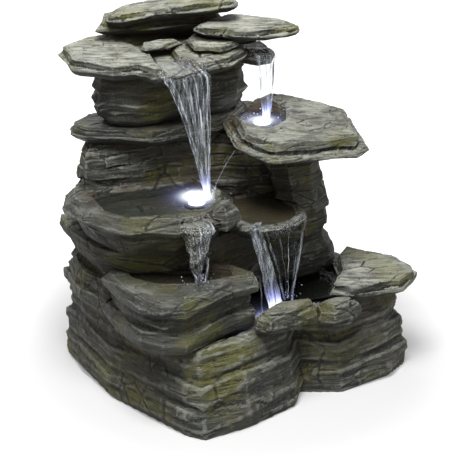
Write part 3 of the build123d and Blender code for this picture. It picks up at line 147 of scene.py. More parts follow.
# Patterns of the materials, as repeats in a metre, and those that are drawn out, along x, y and z
TONE_SCALE, MOSS_SCALE, STAIN_SCALE, SPECK_SCALE = 9.0, 10.0, 15.0, 420.0
RIPPLE_SCALE, MURK_SCALE, BROAD_SCALE, GRAIN_SCALE, LENS_SCALE = 70.0, 38.0, 30.0, 420.0, 300.0
BEDDING_SCALE = (22.0, 22.0, 260.0)
CLEFT_SCALE = (30.0, 125.0, 60.0)
GLINT_SCALE = (760.0, 760.0, 260.0)
STREAK_SCALE = (230.0, 230.0, 20.0)
STAIN_SHIFT = (3.0, 5.0, 7.0)
# Colour of painted glints of light on wet stone near the falls
PAINTED_GLINT_COLOUR = (0.80, 0.84, 0.86, 1)
POOL_COLOUR = (0.030, 0.034, 0.028, 1)
WATER_IOR = 1.33
# Finishes of the fittings: the colour of each, how rough and how metallic it is, and how strong its grain
FINISHES = {
    "pump_plastic": ("plastic", 0.55, 0.0, 0.2), "light_plastic": ("plastic", 0.3, 0.0, 0.2),
    "seal_rubber": ("rubber", 0.8, 0.0, 0.35), "shaft_steel": ("steel", 0.3, 1.0, 0.2),
    "clip_steel": ("steel", 0.35, 1.0, 0.2), "magnet": ("plastic", 0.45, 0.6, 0.2), "hose": ("hose", 0.3, 0.0, 0.2),
    "dial_plastic": ("pale", 0.45, 0.0, 0.2), "impeller_plastic": ("pale", 0.35, 0.0, 0.2),
    "board": ("pale", 0.5, 0.0, 0.2)}
# Share of its colour that a finish falls to where it is darkest
LOW_TONE = 0.72

# Patterns of the relief and of the falls, as repeats in a metre
BEND_SCALE, BLOCK_SCALE, DRIFT_SCALE, JOINT_SCALE, FLAKE_SCALE, LUMP_SCALE = 9.0, 17.0, 19.0, 17.0, 15.0, 24.0
FISSURE_SCALE, HEALED_SCALE, WET_SCALE, STRAY_SCALE, BEAD_SCALE = 12.0, 13.0, 40.0, 24.0, 70.0
# Relief of the stones: how far layers bend, how deep fissures are and how high the plain foot is, in metres
LAYER_BEND, FISSURE_DEPTH, FOOT_HEIGHT = 0.05, 0.0016, 0.006
# How far a stone's pattern may be moved, how its layers' height may change, and what is merged, in metres
PATTERN_SHIFT, LAYER_RANGE, MERGE = 9.0, (0.85, 1.2), 1e-5
# How far from a stone its rays start, and how far they look for shelter, in metres
RAY_START, SHELTER_REACH = 0.006, 0.2
# Where lamps and falls begin to reach a stone and where they do in full, in metres
LIT_REACH, LIT_FULL = 0.10, 0.012
SPLASH_REACH, SPLASH_FULL = 0.016, 0.002
WET_FULL, WET_RAGGED = 0.008, 0.016
# Ways to the open sky that a stone's points are tested along
SKY_WAYS = (
    (0, 0, 1), (0.7, 0, 0.7), (-0.7, 0, 0.7), (0, 0.7, 0.7), (0, -0.7, 0.7), (0.5, -0.8, 0.3), (-0.5, -0.8, 0.3))

# Stage: half the floor's width, its grey, and its own light from the fountain's foot outwards, in metres; that light
# is lower about the foot, which paints a soft shadow there and lets the lamps' shadow show
FLOOR_HALF, FLOOR_GREY = 5.0, 0.50
FLOOR_NEAR, FLOOR_FAR, FLOOR_LOW, FLOOR_FULL = 0.26, 0.62, 0.27, 1.0
# Lamps, each with its size and place, and what they point at, in metres
LAMPS = {"key": (0.75, (-0.62, -0.62, 2.0)), "fill": (1.6, (-0.6, -2.3, 1.5)), "rear": (1.4, (0.7, 2.1, 1.5))}
LAMP_TARGET = (0, 0, 0.25)
SENSOR_WIDTH = 36.0


class Tree:
    """Adds nodes to a node tree, with each input given as a value or as the socket that feeds it."""

    def __init__(self, tree):
        self.nodes = tree.nodes
        self.links = tree.links

    def add(self, kind, *values, inputs=None, **options):
        node = self.nodes.new(kind)
        for name, value in options.items():
            setattr(node, name, value)
        self.fill(node, {**dict(enumerate(values)), **(inputs or {})})
        return node

    def geo(self, kind, *values, inputs=None):
        return self.add("GeometryNode" + kind, *values, inputs=inputs).outputs[0]

    def fill(self, node, inputs):
        for key, value in inputs.items():
            self.feed(node.inputs[key], value)

    def feed(self, socket, value):
        if isinstance(value, bpy.types.NodeSocket):
            self.links.new(value, socket)
        elif value is not None:
            socket.default_value = value

    def math(self, operation, *values):
        return self.add("ShaderNodeMath", *values, operation=operation).outputs[0]

    def times(self, first, *others):
        for other in others:
            first = self.math("MULTIPLY", first, other)
        return first

    def plus(self, first, *others):
        for other in others:
            first = self.math("ADD", first, other)
        return first

    def minus(self, first, second):
        return self.math("SUBTRACT", first, second)

    def line(self, value, slope, start):
        return self.math("MULTIPLY_ADD", value, slope, start)

    def vector(self, operation, *values):
        return self.add("ShaderNodeVectorMath", *values, operation=operation).outputs[0]

    def scale(self, vector, factor):
        return self.add("ShaderNodeVectorMath", inputs={0: vector, 3: factor}, operation="SCALE").outputs[0]

    def dot(self, first, second):
        return self.add("ShaderNodeVectorMath", first, second, operation="DOT_PRODUCT").outputs["Value"]

    def noise(self, place, scale, detail=2.0, roughness=0.5):
        return self.add("ShaderNodeTexNoise", inputs={
            "Vector": place, "Scale": scale, "Detail": detail, "Roughness": roughness}).outputs[0]

    def drawn_noise(self, place, scales, detail=2.0, roughness=0.5):
        return self.noise(self.vector("MULTIPLY", place, scales), 1.0, detail, roughness)

    def object_place(self):
        return self.add("ShaderNodeTexCoord").outputs["Object"]

    def bump(self, strength, distance, height, normal=None):
        return self.add("ShaderNodeBump", inputs={
            "Strength": strength, "Distance": distance, "Height": height, "Normal": normal}).outputs[0]

    def span(self, value, low, high, start=0.0, end=1.0):
        node = self.add("ShaderNodeMapRange", value, low, high, start, end, interpolation_type="SMOOTHSTEP")
        return node.outputs[0]

    def parts(self, vector):
        return self.add("ShaderNodeSeparateXYZ", vector).outputs

    def join(self, x, y, z):
        return self.add("ShaderNodeCombineXYZ", x, y, z).outputs[0]

    def blend(self, factor, first, second):
        node = self.add("ShaderNodeMix", inputs={0: factor, 6: first, 7: second}, data_type="RGBA")
        return node.outputs[2]

    def between(self, factor, first, second):
        node = self.add("ShaderNodeMix", inputs={0: factor, 4: first, 5: second}, data_type="VECTOR")
        return node.outputs[1]

    def attribute(self, name):
        return self.add("ShaderNodeAttribute", attribute_name=name).outputs["Fac"]

    def random(self, identity, seed, low=0.0, high=1.0):
        node = self.add("FunctionNodeRandomValue", inputs={2: low, 3: high, 7: identity, 8: seed}, data_type="FLOAT")
        return node.outputs[1]

    def later(self, identity, seed, step, low=0.0, high=1.0):
        return self.random(identity, self.plus(seed, step), low, high)

    def blur(self, value, steps):
        kind, data = ("VECTOR", "FLOAT_VECTOR") if value.type == "VECTOR" else ("VALUE", "FLOAT")
        node = self.add("GeometryNodeBlurAttribute", inputs={"Iterations": steps}, data_type=data)
        self.feed(next(i for i in node.inputs if i.type == kind and i.enabled), value)
        return next(o for o in node.outputs if o.type == kind and o.enabled)

    def shape_of(self, thing):
        return self.add("GeometryNodeObjectInfo", thing).outputs["Geometry"]

    def nearest(self, geometry, **options):
        return self.add("GeometryNodeProximity", geometry, **options).outputs

    def ray(self, target, start, way, length):
        return self.add("GeometryNodeRaycast", target, inputs={
            "Source Position": start, "Ray Direction": way, "Ray Length": length}).outputs

    def put(self, geometry, place):
        return self.geo("SetPosition", geometry, inputs={"Position": place})

    def realize(self, geometry):
        return self.geo("RealizeInstances", geometry)

    def store(self, geometry, **attributes):
        for name, value in attributes.items():
            geometry = self.geo("StoreNamedAttribute", geometry, inputs={"Name": name, "Value": value})
        return geometry


def new_material(name):
    """A material with an empty tree but for its Principled shader, as the material, the tree and that shader."""
    material = bpy.data.materials.new(name)
    material.use_nodes = True
    tree = Tree(material.node_tree)
    return material, tree, material.node_tree.nodes["Principled BSDF"]


def sockets(kind, *names):
    """Inputs of one kind for a Geometry Nodes tree."""
    return [(name, "NodeSocket" + kind) for name in names]


def new_geometry_tree(name, inputs):
    """A Geometry Nodes tree with its named inputs, as the group, the tree and the inputs by name."""
    group = bpy.data.node_groups.new(name, "GeometryNodeTree")
    group.interface.new_socket(name="Geometry", in_out="INPUT", socket_type="NodeSocketGeometry")
    for label, kind in inputs:
        group.interface.new_socket(name=label, in_out="INPUT", socket_type=kind)
    group.interface.new_socket(name="Geometry", in_out="OUTPUT", socket_type="NodeSocketGeometry")
    tree = Tree(group)
    given = tree.add("NodeGroupInput").outputs
    return group, tree, given


def close_tree(tree, geometry, material):
    """Ends a Geometry Nodes tree with plain geometry in one material."""
    coloured = tree.geo("SetMaterial", tree.realize(geometry), inputs={"Material": material})
    tree.add("NodeGroupOutput", coloured)


def grow(source, group, values):
    """The plain mesh that a tree makes from an object, which is then removed."""
    modifier = source.modifiers.new(group.name, "NODES")
    modifier.node_group = group
    for item in group.interface.items_tree:
        if item.in_out == "INPUT" and item.name in values:
            modifier[item.identifier] = values[item.name]
    graph = bpy.context.evaluated_depsgraph_get()
    mesh = bpy.data.meshes.new_from_object(source.evaluated_get(graph), depsgraph=graph)
    drop_object(source)
    return mesh


def new_object(name, data):
    """An object in the scene at the origin."""
    made = bpy.data.objects.new(name, data)
    bpy.context.scene.collection.objects.link(made)
    return made


def blank_object():
    """An object without geometry, for a tree that makes its own."""
    return new_object("seed", bpy.data.meshes.new("seed"))


def joined_object(name, meshes):
    """A helper object that holds several meshes as one."""
    shape = bmesh.new()
    for mesh in meshes:
        shape.from_mesh(mesh)
    joined = bpy.data.meshes.new(name)
    shape.to_mesh(joined)
    shape.free()
    return new_object(name, joined)


def drop_object(made):
    """Removes a helper object and its mesh."""
    mesh = made.data
    bpy.data.objects.remove(made)
    bpy.data.meshes.remove(mesh)


def finish_piece(name, mesh, body="fountain"):
    """A finished piece that rides on a body of the frame."""
    mesh.polygons.foreach_set("use_smooth", [True] * len(mesh.polygons))
    made = new_object(name, mesh)
    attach(made, body)
    return made


def set_points(mesh, name, values):
    mesh.attributes.new(name, "FLOAT", "POINT").data.foreach_set("value", values)


def light_places():
    """Where each light meets the surface of its pool."""
    places = []
    for light, pool in LIGHTS.items():
        low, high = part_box(light + "_lens")
        places.append(Vector(((low[0] + high[0]) / 2, (low[1] + high[1]) / 2, POOLS[pool][2])))
    return places


def lamp_points():
    """An object whose points are the lit places, for what looks up how near a light is."""
    mesh = bpy.data.meshes.new("lamp_points")
    mesh.from_pydata([tuple(place) for place in light_places()], [], [])
    return new_object("lamp_points", mesh)


def landing(name):
    """The middle of where a fall lands."""
    return (Vector(FALLS[name][-2]) + Vector(FALLS[name][-1])) / 2


def colour_property(name, description, colour):
    return FloatVectorProperty(name=name, description=description, default=(*colour, 1), size=4, subtype="COLOR")


def number_property(name, description, number, **options):
    return FloatProperty(name=name, description=description, default=number, **options)


def length_property(name, description, length):
    return number_property(name, description, length, unit="LENGTH")


class SlateProperties(bpy.types.PropertyGroup):
    seed: IntProperty(name="Seed", description="Start of the stones' randomness", default=4)
    cell: length_property("Mesh cell", "Smallest cell of a stone's mesh", 0.0018)
    most_cells: IntProperty(name="Most cells", description="Cells that a stone's mesh stays near", default=76000)
    layer: length_property("Layer", "Height of one layer of the slate", 0.021)
    depth: length_property("Layer depth", "How far layers stand out of each other", 0.0030)
    grain: number_property("Grain", "Turn of the cleavage lines on the tops", math.radians(36), subtype="ANGLE")
    laminae: number_property("Laminae", "Fewest layers in the height of a stone", 3.5)
    flake: length_property("Flake", "Step between the flakes of a cleaved top", 0.0014)
    lump: length_property("Lump", "Height of the broad unevenness", 0.003)
    wet_reach: length_property("Wet reach", "How far from the water a stone is wet", 0.022)
    pale: colour_property("Pale", "Dry, worn slate", (0.31, 0.318, 0.275))
    middle: colour_property("Middle", "Plain slate", (0.080, 0.083, 0.062))
    # Dark also stands for painted shade on downward faces and in hollow places
    dark: colour_property("Dark", "Fissures and undersides", (0.017, 0.019, 0.018))
    moss: colour_property("Moss", "Olive patches", (0.128, 0.124, 0.022))
    # Pale tops that are dusty and also painted top light, on tops open to the sky
    dust_and_top_light: colour_property("Dust_and_top_light", "Bleached tops", (0.52, 0.53, 0.455))
    # Painted shade: the colour that places sheltered from the sky are darkened to
    painted_shade: colour_property("Painted_shade", "Sheltered, wet slate", (0.040, 0.030, 0.017))
    rust: colour_property("Rust", "Brown stains", (0.115, 0.078, 0.046))


class WaterProperties(bpy.types.PropertyGroup):
    seed: IntProperty(name="Seed", description="Start of the water's randomness", default=11)
    steps: IntProperty(name="Steps", description="Points along a strand", default=40)
    radius: length_property("Strand radius", "Radius of a strand of water", 0.0009)
    wobble: length_property("Wobble", "How far a strand strays", 0.007)
    sheet: length_property("Sheet", "Thickness of a film of water", 0.0012)
    glow_reach: length_property("Glow reach", "How far a light is seen in the water", 0.072)
    colour: colour_property("Colour", "White strands", (0.76, 0.82, 0.88))
    glow: colour_property("Glow", "Light of the lamps in the water", (0.80, 0.85, 1.0))
    glass: colour_property("Glass", "Clear strands", (0.15, 0.17, 0.20))
    silt: colour_property("Silt", "Shallow water over brown stone", (0.078, 0.062, 0.037))
    halo: colour_property("Halo", "Light of the lamps further off", (0.36, 0.38, 1.0))


class FittingProperties(bpy.types.PropertyGroup):
    plastic: colour_property("Plastic", "Pump and light bodies", (0.016, 0.016, 0.018))
    rubber: colour_property("Rubber", "Seals and feet", (0.012, 0.012, 0.012))
    steel: colour_property("Steel", "Shaft and clips", (0.56, 0.56, 0.57))
    hose: colour_property("Hose", "Riser hose", (0.30, 0.35, 0.37))
    pale: colour_property("Pale plastic", "Impeller, dial and boards", (0.55, 0.55, 0.52))


class StageProperties(bpy.types.PropertyGroup):
    azimuth: number_property("Azimuth", "Turn of the camera about the fountain", math.radians(-36), subtype="ANGLE")
    elevation: number_property("Elevation", "Rise of the camera", math.radians(24), subtype="ANGLE")
    distance: length_property("Distance", "Camera to target", 2.3)
    target: FloatVectorProperty(
        name="Target", description="What the camera looks at", default=(-0.096, -0.134, 0.290), subtype="XYZ")
    lens: number_property("Lens", "Focal length in millimetres", 122.6)
    key: number_property("Key", "Power of the lamp overhead in watts", 56.0)
    fill: number_property("Fill", "Power of the lamp at the front in watts", 7.0)
    rear: number_property("Rear", "Power of the lamp behind in watts", 9.0)
    sky: number_property("Sky", "Strength of the light all round", 0.17)


def slate_material():
    """Layered slate: tones, moss, stains, dark fissures, worn edges, and wet where water is near, with painted shade
    in sheltered places, hollow places and on downward faces, painted top light on the dusty tops, painted glints
    near the falls and painted lamp light near the pools' lights.
    """
    slate = bpy.context.scene.fountain_slate
    pale, middle, dark, moss = slate.pale, slate.middle, slate.dark, slate.moss
    dust_and_top_light, painted_shade, rust = slate.dust_and_top_light, slate.painted_shade, slate.rust
    material, tree, shader = new_material("slate")
    place = tree.object_place()
    up = tree.parts(tree.add("ShaderNodeNewGeometry").outputs["Normal"])[2]
    edge, crack, wet, lit, shade, splash, soak = (
        tree.attribute(name) for name in ("edge", "crack", "wet", "lit", "shade", "splash", "soak"))
    top = tree.span(up, 0.5, 0.92)
    # Downward faces, which are darkened as painted shade
    underside_shade = tree.span(up, -0.1, -0.6)
    # Open to the sky and sheltered from it, by the rays of the shade attribute; sheltered places get painted shade
    open_sky = tree.span(shade, 0.75, 0.2)
    sheltered = tree.span(shade, 0.25, 0.9)

    tone = tree.noise(place, TONE_SCALE, 4.0)
    bedding = tree.drawn_noise(place, BEDDING_SCALE, 5.0, 0.65)
    turned = tree.add("ShaderNodeMapping", place, inputs={"Rotation": (0.0, 0.0, slate.grain)}).outputs[0]
    cleft = tree.drawn_noise(turned, CLEFT_SCALE, 5.0, 0.64)
    speck = tree.noise(place, SPECK_SCALE, 2.0, 0.6)
    patches = tree.noise(place, MOSS_SCALE, 4.0)
    stains = tree.noise(tree.vector("ADD", place, STAIN_SHIFT), STAIN_SCALE, 3.0)
    slanted = tree.vector("ADD", place, tree.join(tree.times(tree.parts(place)[2], 0.7), 0.0, 0.0))
    glints = tree.drawn_noise(slanted, GLINT_SCALE)

    worn = tree.times(tree.span(bedding, 0.49, 0.64), tree.line(top, 0.34, 0.24))
    # Dusty tops that are also painted top light, where the sky is open and less on soaked stones
    dusty_lit_tops = tree.times(tree.span(cleft, 0.34, 0.64, 0.16, 1.0), tree.line(top, 0.70, 0.04))
    dusty_lit_tops = tree.times(dusty_lit_tops, tree.times(open_sky, tree.minus(1.0, soak)))
    mossy = tree.times(tree.span(patches, 0.49, 0.63), 0.8, tree.line(top, -0.4, 1.0))
    stained = tree.times(tree.span(stains, 0.5, 0.66), tree.line(wet, 0.7, 0.15))
    lines = tree.times(tree.span(bedding, 0.47, 0.37), tree.line(top, -0.5, 0.88))
    cracks = tree.times(tree.span(crack, 0.2, 0.9), 0.78)
    # Hollow places, found by how proud a point stands, darkened as painted shade
    hollow_shade = tree.span(edge, 0.42, 0.18)
    rims = tree.times(tree.span(edge, 0.56, 0.80), tree.span(cleft, 0.35, 0.6, 0.25, 0.75))
    pale_specks = tree.times(tree.span(speck, 0.60, 0.72), 0.45)
    dark_specks = tree.times(tree.span(speck, 0.42, 0.30), 0.55)
    rusty = tree.times(wet, sheltered, tree.span(tone, 0.35, 0.6, 0.25, 0.75))
    darkened = tree.math("MAXIMUM", tree.times(wet, 0.28), tree.times(soak, 0.5))
    # Painted glints of light on wet stone near the falls, most on faces that look up
    painted_glints = tree.times(tree.span(glints, 0.57, 0.63), tree.times(splash, tree.span(up, 0.95, 0.5, 0.3, 1.0)))

    colour = tree.blend(tree.span(tone, 0.30, 0.70), dark, middle)
    # Coats in turn; among them painted shade in sheltered places, in hollow places and on downward faces, painted
    # top light with the dusty tops, and painted glints
    for share, coat in (
            (worn, pale), (dusty_lit_tops, dust_and_top_light), (mossy, moss), (stained, rust), (lines, dark), (cracks, dark),
            (hollow_shade, dark), (rims, pale), (pale_specks, pale), (dark_specks, dark),
            (tree.times(sheltered, 0.62), painted_shade), (rusty, rust), (tree.times(underside_shade, 0.7), dark), (darkened, dark),
            (tree.times(painted_glints, 0.75), PAINTED_GLINT_COLOUR)):
        colour = tree.blend(share, colour, coat)
    sleek = tree.math("MAXIMUM", wet, tree.times(soak, 0.6))
    glow = bpy.context.scene.fountain_water.glow
    normal = tree.bump(1.0, 0.006, bedding)
    normal = tree.bump(0.9, 0.005, cleft, normal)
    normal = tree.bump(0.5, 0.0012, speck, normal)
    # The slate glows with its own colour near the pools' lights: painted lamp light
    tree.fill(shader, {
        "Base Color": colour, "Roughness": tree.minus(tree.line(cleft, 0.3, 0.50), tree.times(sleek, 0.48)),
        "Specular IOR Level": 0.2, "Emission Color": tree.vector("MULTIPLY", colour, glow[:3]),
        "Emission Strength": tree.times(lit, 2.6), "Normal": normal})
    return material


def slate_tree(material):
    """Geometry Nodes: layers that stand in and out on the sides, flakes on the tops, where water is near, and where
    lamp light and shade are painted on the slate.
    """
    group, tree, given = new_geometry_tree("Slate layers", [
        *sockets("Float", "Seed", "Layer", "Depth", "Flake", "Lump", "Wet reach", "Soak"),
        *sockets("Object", "Water", "Falls", "Lamps", "Stones")])
    place = tree.geo("InputPosition")
    normal = tree.geo("InputNormal")
    spot = tree.vector("ADD", place, tree.join(*[given["Seed"]] * 3))
    x, y, z = tree.parts(spot)
    up = tree.parts(normal)[2]
    side = tree.span(tree.math("ABSOLUTE", up), 0.88, 0.5)
    level = tree.span(up, 0.6, 0.92)

    # Layers of broken beds, with open joints between them
    bend = tree.times(tree.minus(tree.noise(spot, BEND_SCALE), 0.5), LAYER_BEND)
    rise = tree.math("DIVIDE", tree.plus(z, bend), given["Layer"])
    bed = tree.join(x, y, tree.times(tree.math("FLOOR", rise), 1.73))
    blocks = tree.add("ShaderNodeTexVoronoi", inputs={"Vector": bed, "Scale": BLOCK_SCALE})
    block = tree.parts(blocks.outputs["Color"])[0]
    drift = tree.noise(bed, DRIFT_SCALE, 3.0, 0.6)
    stand = tree.minus(tree.plus(tree.times(block, 0.32), tree.times(drift, 1.2)), 0.79)
    joint = tree.span(tree.math("ABSOLUTE", tree.minus(tree.math("FRACT", rise), 0.5)), 0.40, 0.5)
    joint = tree.times(joint, tree.span(tree.noise(spot, JOINT_SCALE), 0.42, 0.58))
    layers = tree.times(tree.plus(stand, tree.times(joint, -0.45)), given["Depth"], side)

    # Fissures that run across the layers
    slant = tree.vector("MULTIPLY", spot, (1.0, 2.4, 1.6))
    slant = tree.vector("ADD", slant, tree.join(tree.times(y, 0.9), 0.0, 0.0))
    cells = {"Vector": slant, "Scale": FISSURE_SCALE}
    split = tree.add("ShaderNodeTexVoronoi", inputs=cells, feature="DISTANCE_TO_EDGE").outputs["Distance"]
    split = tree.span(split, 0.05, 0.0)
    split = tree.times(split, tree.span(tree.noise(spot, HEALED_SCALE), 0.47, 0.58))
    fissures = tree.times(split, -FISSURE_DEPTH)

    # Flakes that step up to the middle of a top, and broad lumps
    field = tree.noise(tree.vector("MULTIPLY", spot, (1.0, 1.35, 0.4)), FLAKE_SCALE, 4.0, 0.55)
    step = tree.plus(tree.times(field, 5.0), tree.times(tree.blur(level, 16), 3.4))
    flakes = tree.times(tree.minus(tree.math("FLOOR", step), 5.2), given["Flake"], level)
    lumps = tree.times(tree.minus(tree.noise(spot, LUMP_SCALE, 3.0), 0.55), given["Lump"])

    move = tree.plus(tree.plus(layers, flakes), tree.plus(lumps, fissures))
    move = tree.times(move, tree.span(tree.parts(place)[2], 0.0, FOOT_HEIGHT))
    shape = tree.geo("SetPosition", given["Geometry"], inputs={"Offset": tree.scale(normal, move)})
    # How far a point stands proud of its neighbours; the slate darkens hollow places by it as painted shade
    proud = tree.dot(tree.vector("SUBTRACT", place, tree.blur(place, 5)), normal)
    shape = tree.store(
        shape, crack=tree.math("MAXIMUM", tree.times(joint, side), split), edge=tree.line(proud, 420.0, 0.5),
        soak=given["Soak"])

    # Water that is near
    away = tree.nearest(tree.shape_of(given["Water"]))["Distance"]
    ragged = tree.plus(away, tree.times(tree.noise(spot, WET_SCALE), WET_RAGGED))
    wet = tree.span(ragged, tree.plus(given["Wet reach"], WET_FULL), WET_FULL)
    away = tree.nearest(tree.shape_of(given["Falls"]))["Distance"]
    shape = tree.store(shape, wet=wet, splash=tree.span(away, SPLASH_REACH, SPLASH_FULL))

    # Painted lamp light where no stone is in its way, and shelter from the sky for the painted shade
    stones = tree.shape_of(given["Stones"])
    start = tree.vector("ADD", place, tree.scale(normal, RAY_START))
    lamp = tree.nearest(tree.shape_of(given["Lamps"]), target_element="POINTS")
    facing = tree.span(tree.dot(tree.vector("SUBTRACT", lamp["Position"], place), normal), -0.006, 0.012)
    near = tree.math("POWER", tree.span(lamp["Distance"], LIT_REACH, LIT_FULL), 2.0)
    way = tree.vector("SUBTRACT", lamp["Position"], start)
    hit = tree.ray(stones, start, way, tree.times(lamp["Distance"], 0.85))["Is Hit"]
    lit = tree.times(near, facing, tree.minus(1.0, hit))
    shape = tree.store(shape, lit=tree.blur(lit, 3))
    hits = [
        tree.times(tree.ray(stones, start, way, SHELTER_REACH)["Is Hit"], 1.0 / len(SKY_WAYS)) for way in SKY_WAYS]
    shape = tree.store(shape, shade=tree.blur(tree.plus(*hits), 4))
    close_tree(tree, shape, material)
    return group


FALL_SOCKETS = [
    *sockets("Vector", *FALL_ENDS), *sockets("Float", "Wobble", "Run", "Curve", "Glow reach"),
    *sockets("Int", "Seed"), *sockets("Object", "Lamps")]


def fall_path(tree, given, across, aside, along, own):
    """Points of a fall, which runs to its lip and drops, straying more the further it falls, and their pattern."""
    run = tree.span(along, 0.0, given["Run"])
    drop = tree.add("ShaderNodeMapRange", along, given["Run"], 1.0, 0.0, 1.0).outputs[0]
    source = tree.between(across, given["Source A"], given["Source B"])
    lip = tree.between(across, given["Lip A"], given["Lip B"])
    end = tree.between(aside, given["Landing A"], given["Landing B"])
    sunk = tree.math("POWER", drop, given["Curve"])
    fall = tree.vector("MULTIPLY", tree.vector("SUBTRACT", end, lip), tree.join(drop, drop, sunk))
    dip = tree.math("POWER", run, 6.0)
    reach = tree.vector("MULTIPLY", tree.vector("SUBTRACT", lip, source), tree.join(run, run, dip))
    path = tree.vector("ADD", tree.vector("ADD", source, reach), fall)
    spot = tree.vector("ADD", path, tree.join(own, 0.0, 0.0))
    stray = tree.add("ShaderNodeTexNoise", inputs={"Vector": spot, "Scale": STRAY_SCALE, "Detail": 2.0}).outputs[1]
    stray = tree.vector("SUBTRACT", stray, (0.5, 0.5, 0.5))
    far = tree.times(drop, tree.minus(1.3, drop))
    far = tree.times(given["Wobble"], tree.line(far, 3.0, 0.2))
    stray = tree.vector("MULTIPLY", tree.scale(stray, far), (1.0, 1.0, 0.35))
    return tree.vector("ADD", path, stray), spot


def lamp_glow(tree, given, geometry, share=1.0):
    """The geometry with how much light each of its points has from the lamps."""
    lamp = tree.nearest(tree.shape_of(given["Lamps"]), target_element="POINTS")["Distance"]
    glow = tree.math("POWER", tree.span(lamp, given["Glow reach"], 0.005), 2.4)
    return tree.store(geometry, glow=tree.times(glow, share))


def strand_tree(material):
    """Geometry Nodes: strands that run to a lip and fall from it, with their light and whiteness."""
    group, tree, given = new_geometry_tree("Falling strands", [
        *FALL_SOCKETS, *sockets("Int", "Strands", "Steps"), *sockets("Float", "Radius", "Cling", "White"),
        *sockets("Object", "Stone")])
    starts = tree.geo("MeshLine", inputs={"Count": given["Strands"]})
    line = tree.geo("CurvePrimitiveLine")
    line = tree.geo("ResampleCurve", line, inputs={"Count": given["Steps"]})
    curves = tree.realize(tree.geo("InstanceOnPoints", starts, inputs={"Instance": line}))
    number = tree.add("GeometryNodeCurveOfPoint").outputs["Curve Index"]
    along = tree.add("GeometryNodeSplineParameter").outputs["Factor"]

    # Paths, drawn onto the stone where a fall clings to one
    across = tree.math("DIVIDE", tree.plus(number, tree.random(number, given["Seed"])), given["Strands"])
    aside = tree.plus(across, tree.later(number, given["Seed"], 1.0, -0.3, 0.3))
    place, spot = fall_path(tree, given, across, aside, along, tree.times(number, 0.61))
    front = tree.vector("ADD", place, (0.0, -CLING_FRONT, 0.0))
    hit = tree.ray(tree.shape_of(given["Stone"]), front, (0.0, 1.0, 0.0), CLING_REACH)
    held = tree.times(hit["Is Hit"], given["Cling"], tree.span(along, 0.2, 0.32))
    place = tree.between(held, place, tree.vector("ADD", hit["Hit Position"], (0.0, -CLING_GAP, 0.0)))
    curves = lamp_glow(tree, given, tree.put(curves, place))

    # Thickness, with beads, and how far each strand shows and is white
    beads = tree.noise(tree.vector("MULTIPLY", spot, (1.0, 1.0, 0.6)), BEAD_SCALE)
    size = tree.later(number, given["Seed"], 2.0, 0.25, 1.25)
    size = tree.times(
        size, size, given["Radius"], tree.span(beads, 0.28, 0.72, 0.25, 1.8), tree.span(along, 0.0, 0.12, 0.15, 1.0))
    body = tree.math("POWER", tree.later(number, given["Seed"], 3.0, 0.3, 1.0), 1.6)
    body = tree.times(body, tree.span(along, 0.1, 0.45, 0.2, 1.0))
    outer = tree.span(tree.math("ABSOLUTE", tree.minus(across, 0.5)), 0.34, 0.46)
    thinned = tree.span(along, 0.45, 0.8, 1.0, 0.45)
    body = tree.times(body, tree.math("MAXIMUM", tree.times(outer, 1.5), thinned))
    tint = tree.plus(tree.later(number, given["Seed"], 4.0), given["White"])
    curves = tree.store(curves, body=body, tint=tint)
    curves = tree.geo("SetCurveRadius", curves, inputs={"Radius": size})
    ring = tree.geo("CurvePrimitiveCircle", inputs={"Resolution": 6, "Radius": 1.0})
    solid = tree.geo("CurveToMesh", curves, ring, inputs={"Scale": size, "Fill Caps": True})
    close_tree(tree, solid, material)
    return group


def sheet_tree(material):
    """Geometry Nodes: a thin closed film of water between the two sides of a fall."""
    group, tree, given = new_geometry_tree("Falling film", [*FALL_SOCKETS, *sockets("Float", "Thickness")])
    grid = tree.geo("MeshGrid", inputs={"Size X": 1.0, "Size Y": 1.0, "Vertices X": 36, "Vertices Y": 60})
    spread = tree.parts(tree.geo("InputPosition"))
    across, along = tree.plus(spread[0], 0.5), tree.plus(spread[1], 0.5)
    film = tree.put(grid, fall_path(tree, given, across, across, along, 0.0)[0])
    film = lamp_glow(tree, given, film, FILM_GLOW)
    apron = tree.times(tree.span(along, 0.05, 0.20), tree.span(along, 0.46, 0.30))
    film = tree.store(film, tint=FILM_TINT, body=tree.line(apron, 0.62, 0.12))
    front = tree.geo("ExtrudeMesh", film, inputs={"Offset Scale": given["Thickness"], "Individual": False})
    back = tree.geo("FlipFaces", film)
    both = tree.add("GeometryNodeJoinGeometry", front)
    tree.links.new(back, both.inputs[0])
    closed = tree.geo("MergeByDistance", both.outputs[0], inputs={"Distance": MERGE})
    close_tree(tree, closed, material)
    return group


def drop_tree(material):
    """Geometry Nodes: drops thrown up round a landing."""
    group, tree, given = new_geometry_tree("Thrown drops", [
        *sockets("Int", "Count", "Seed"), *sockets("Vector", "Middle"),
        *sockets("Float", "Reach", "Height", "Radius")])
    starts = tree.geo("MeshLine", inputs={"Count": given["Count"]})
    number = tree.geo("InputIndex")
    turn = tree.random(number, given["Seed"], 0.0, math.tau)
    out = tree.math("POWER", tree.later(number, given["Seed"], 1.0), 1.4)
    far = tree.times(out, given["Reach"])
    lift = tree.later(number, given["Seed"], 2.0)
    lift = tree.times(lift, lift, given["Height"])
    place = tree.join(tree.times(tree.math("COSINE", turn), far), tree.times(tree.math("SINE", turn), far), lift)
    starts = tree.put(starts, tree.vector("ADD", place, given["Middle"]))
    ball = tree.geo("MeshIcoSphere", given["Radius"], 1)
    size = tree.later(number, given["Seed"], 3.0, 0.35, 1.0)
    drops = tree.geo("InstanceOnPoints", starts, inputs={"Instance": ball, "Scale": size})
    drops = tree.store(tree.realize(drops), glow=0.15, body=0.8, tint=0.8)
    close_tree(tree, drops, material)
    return group


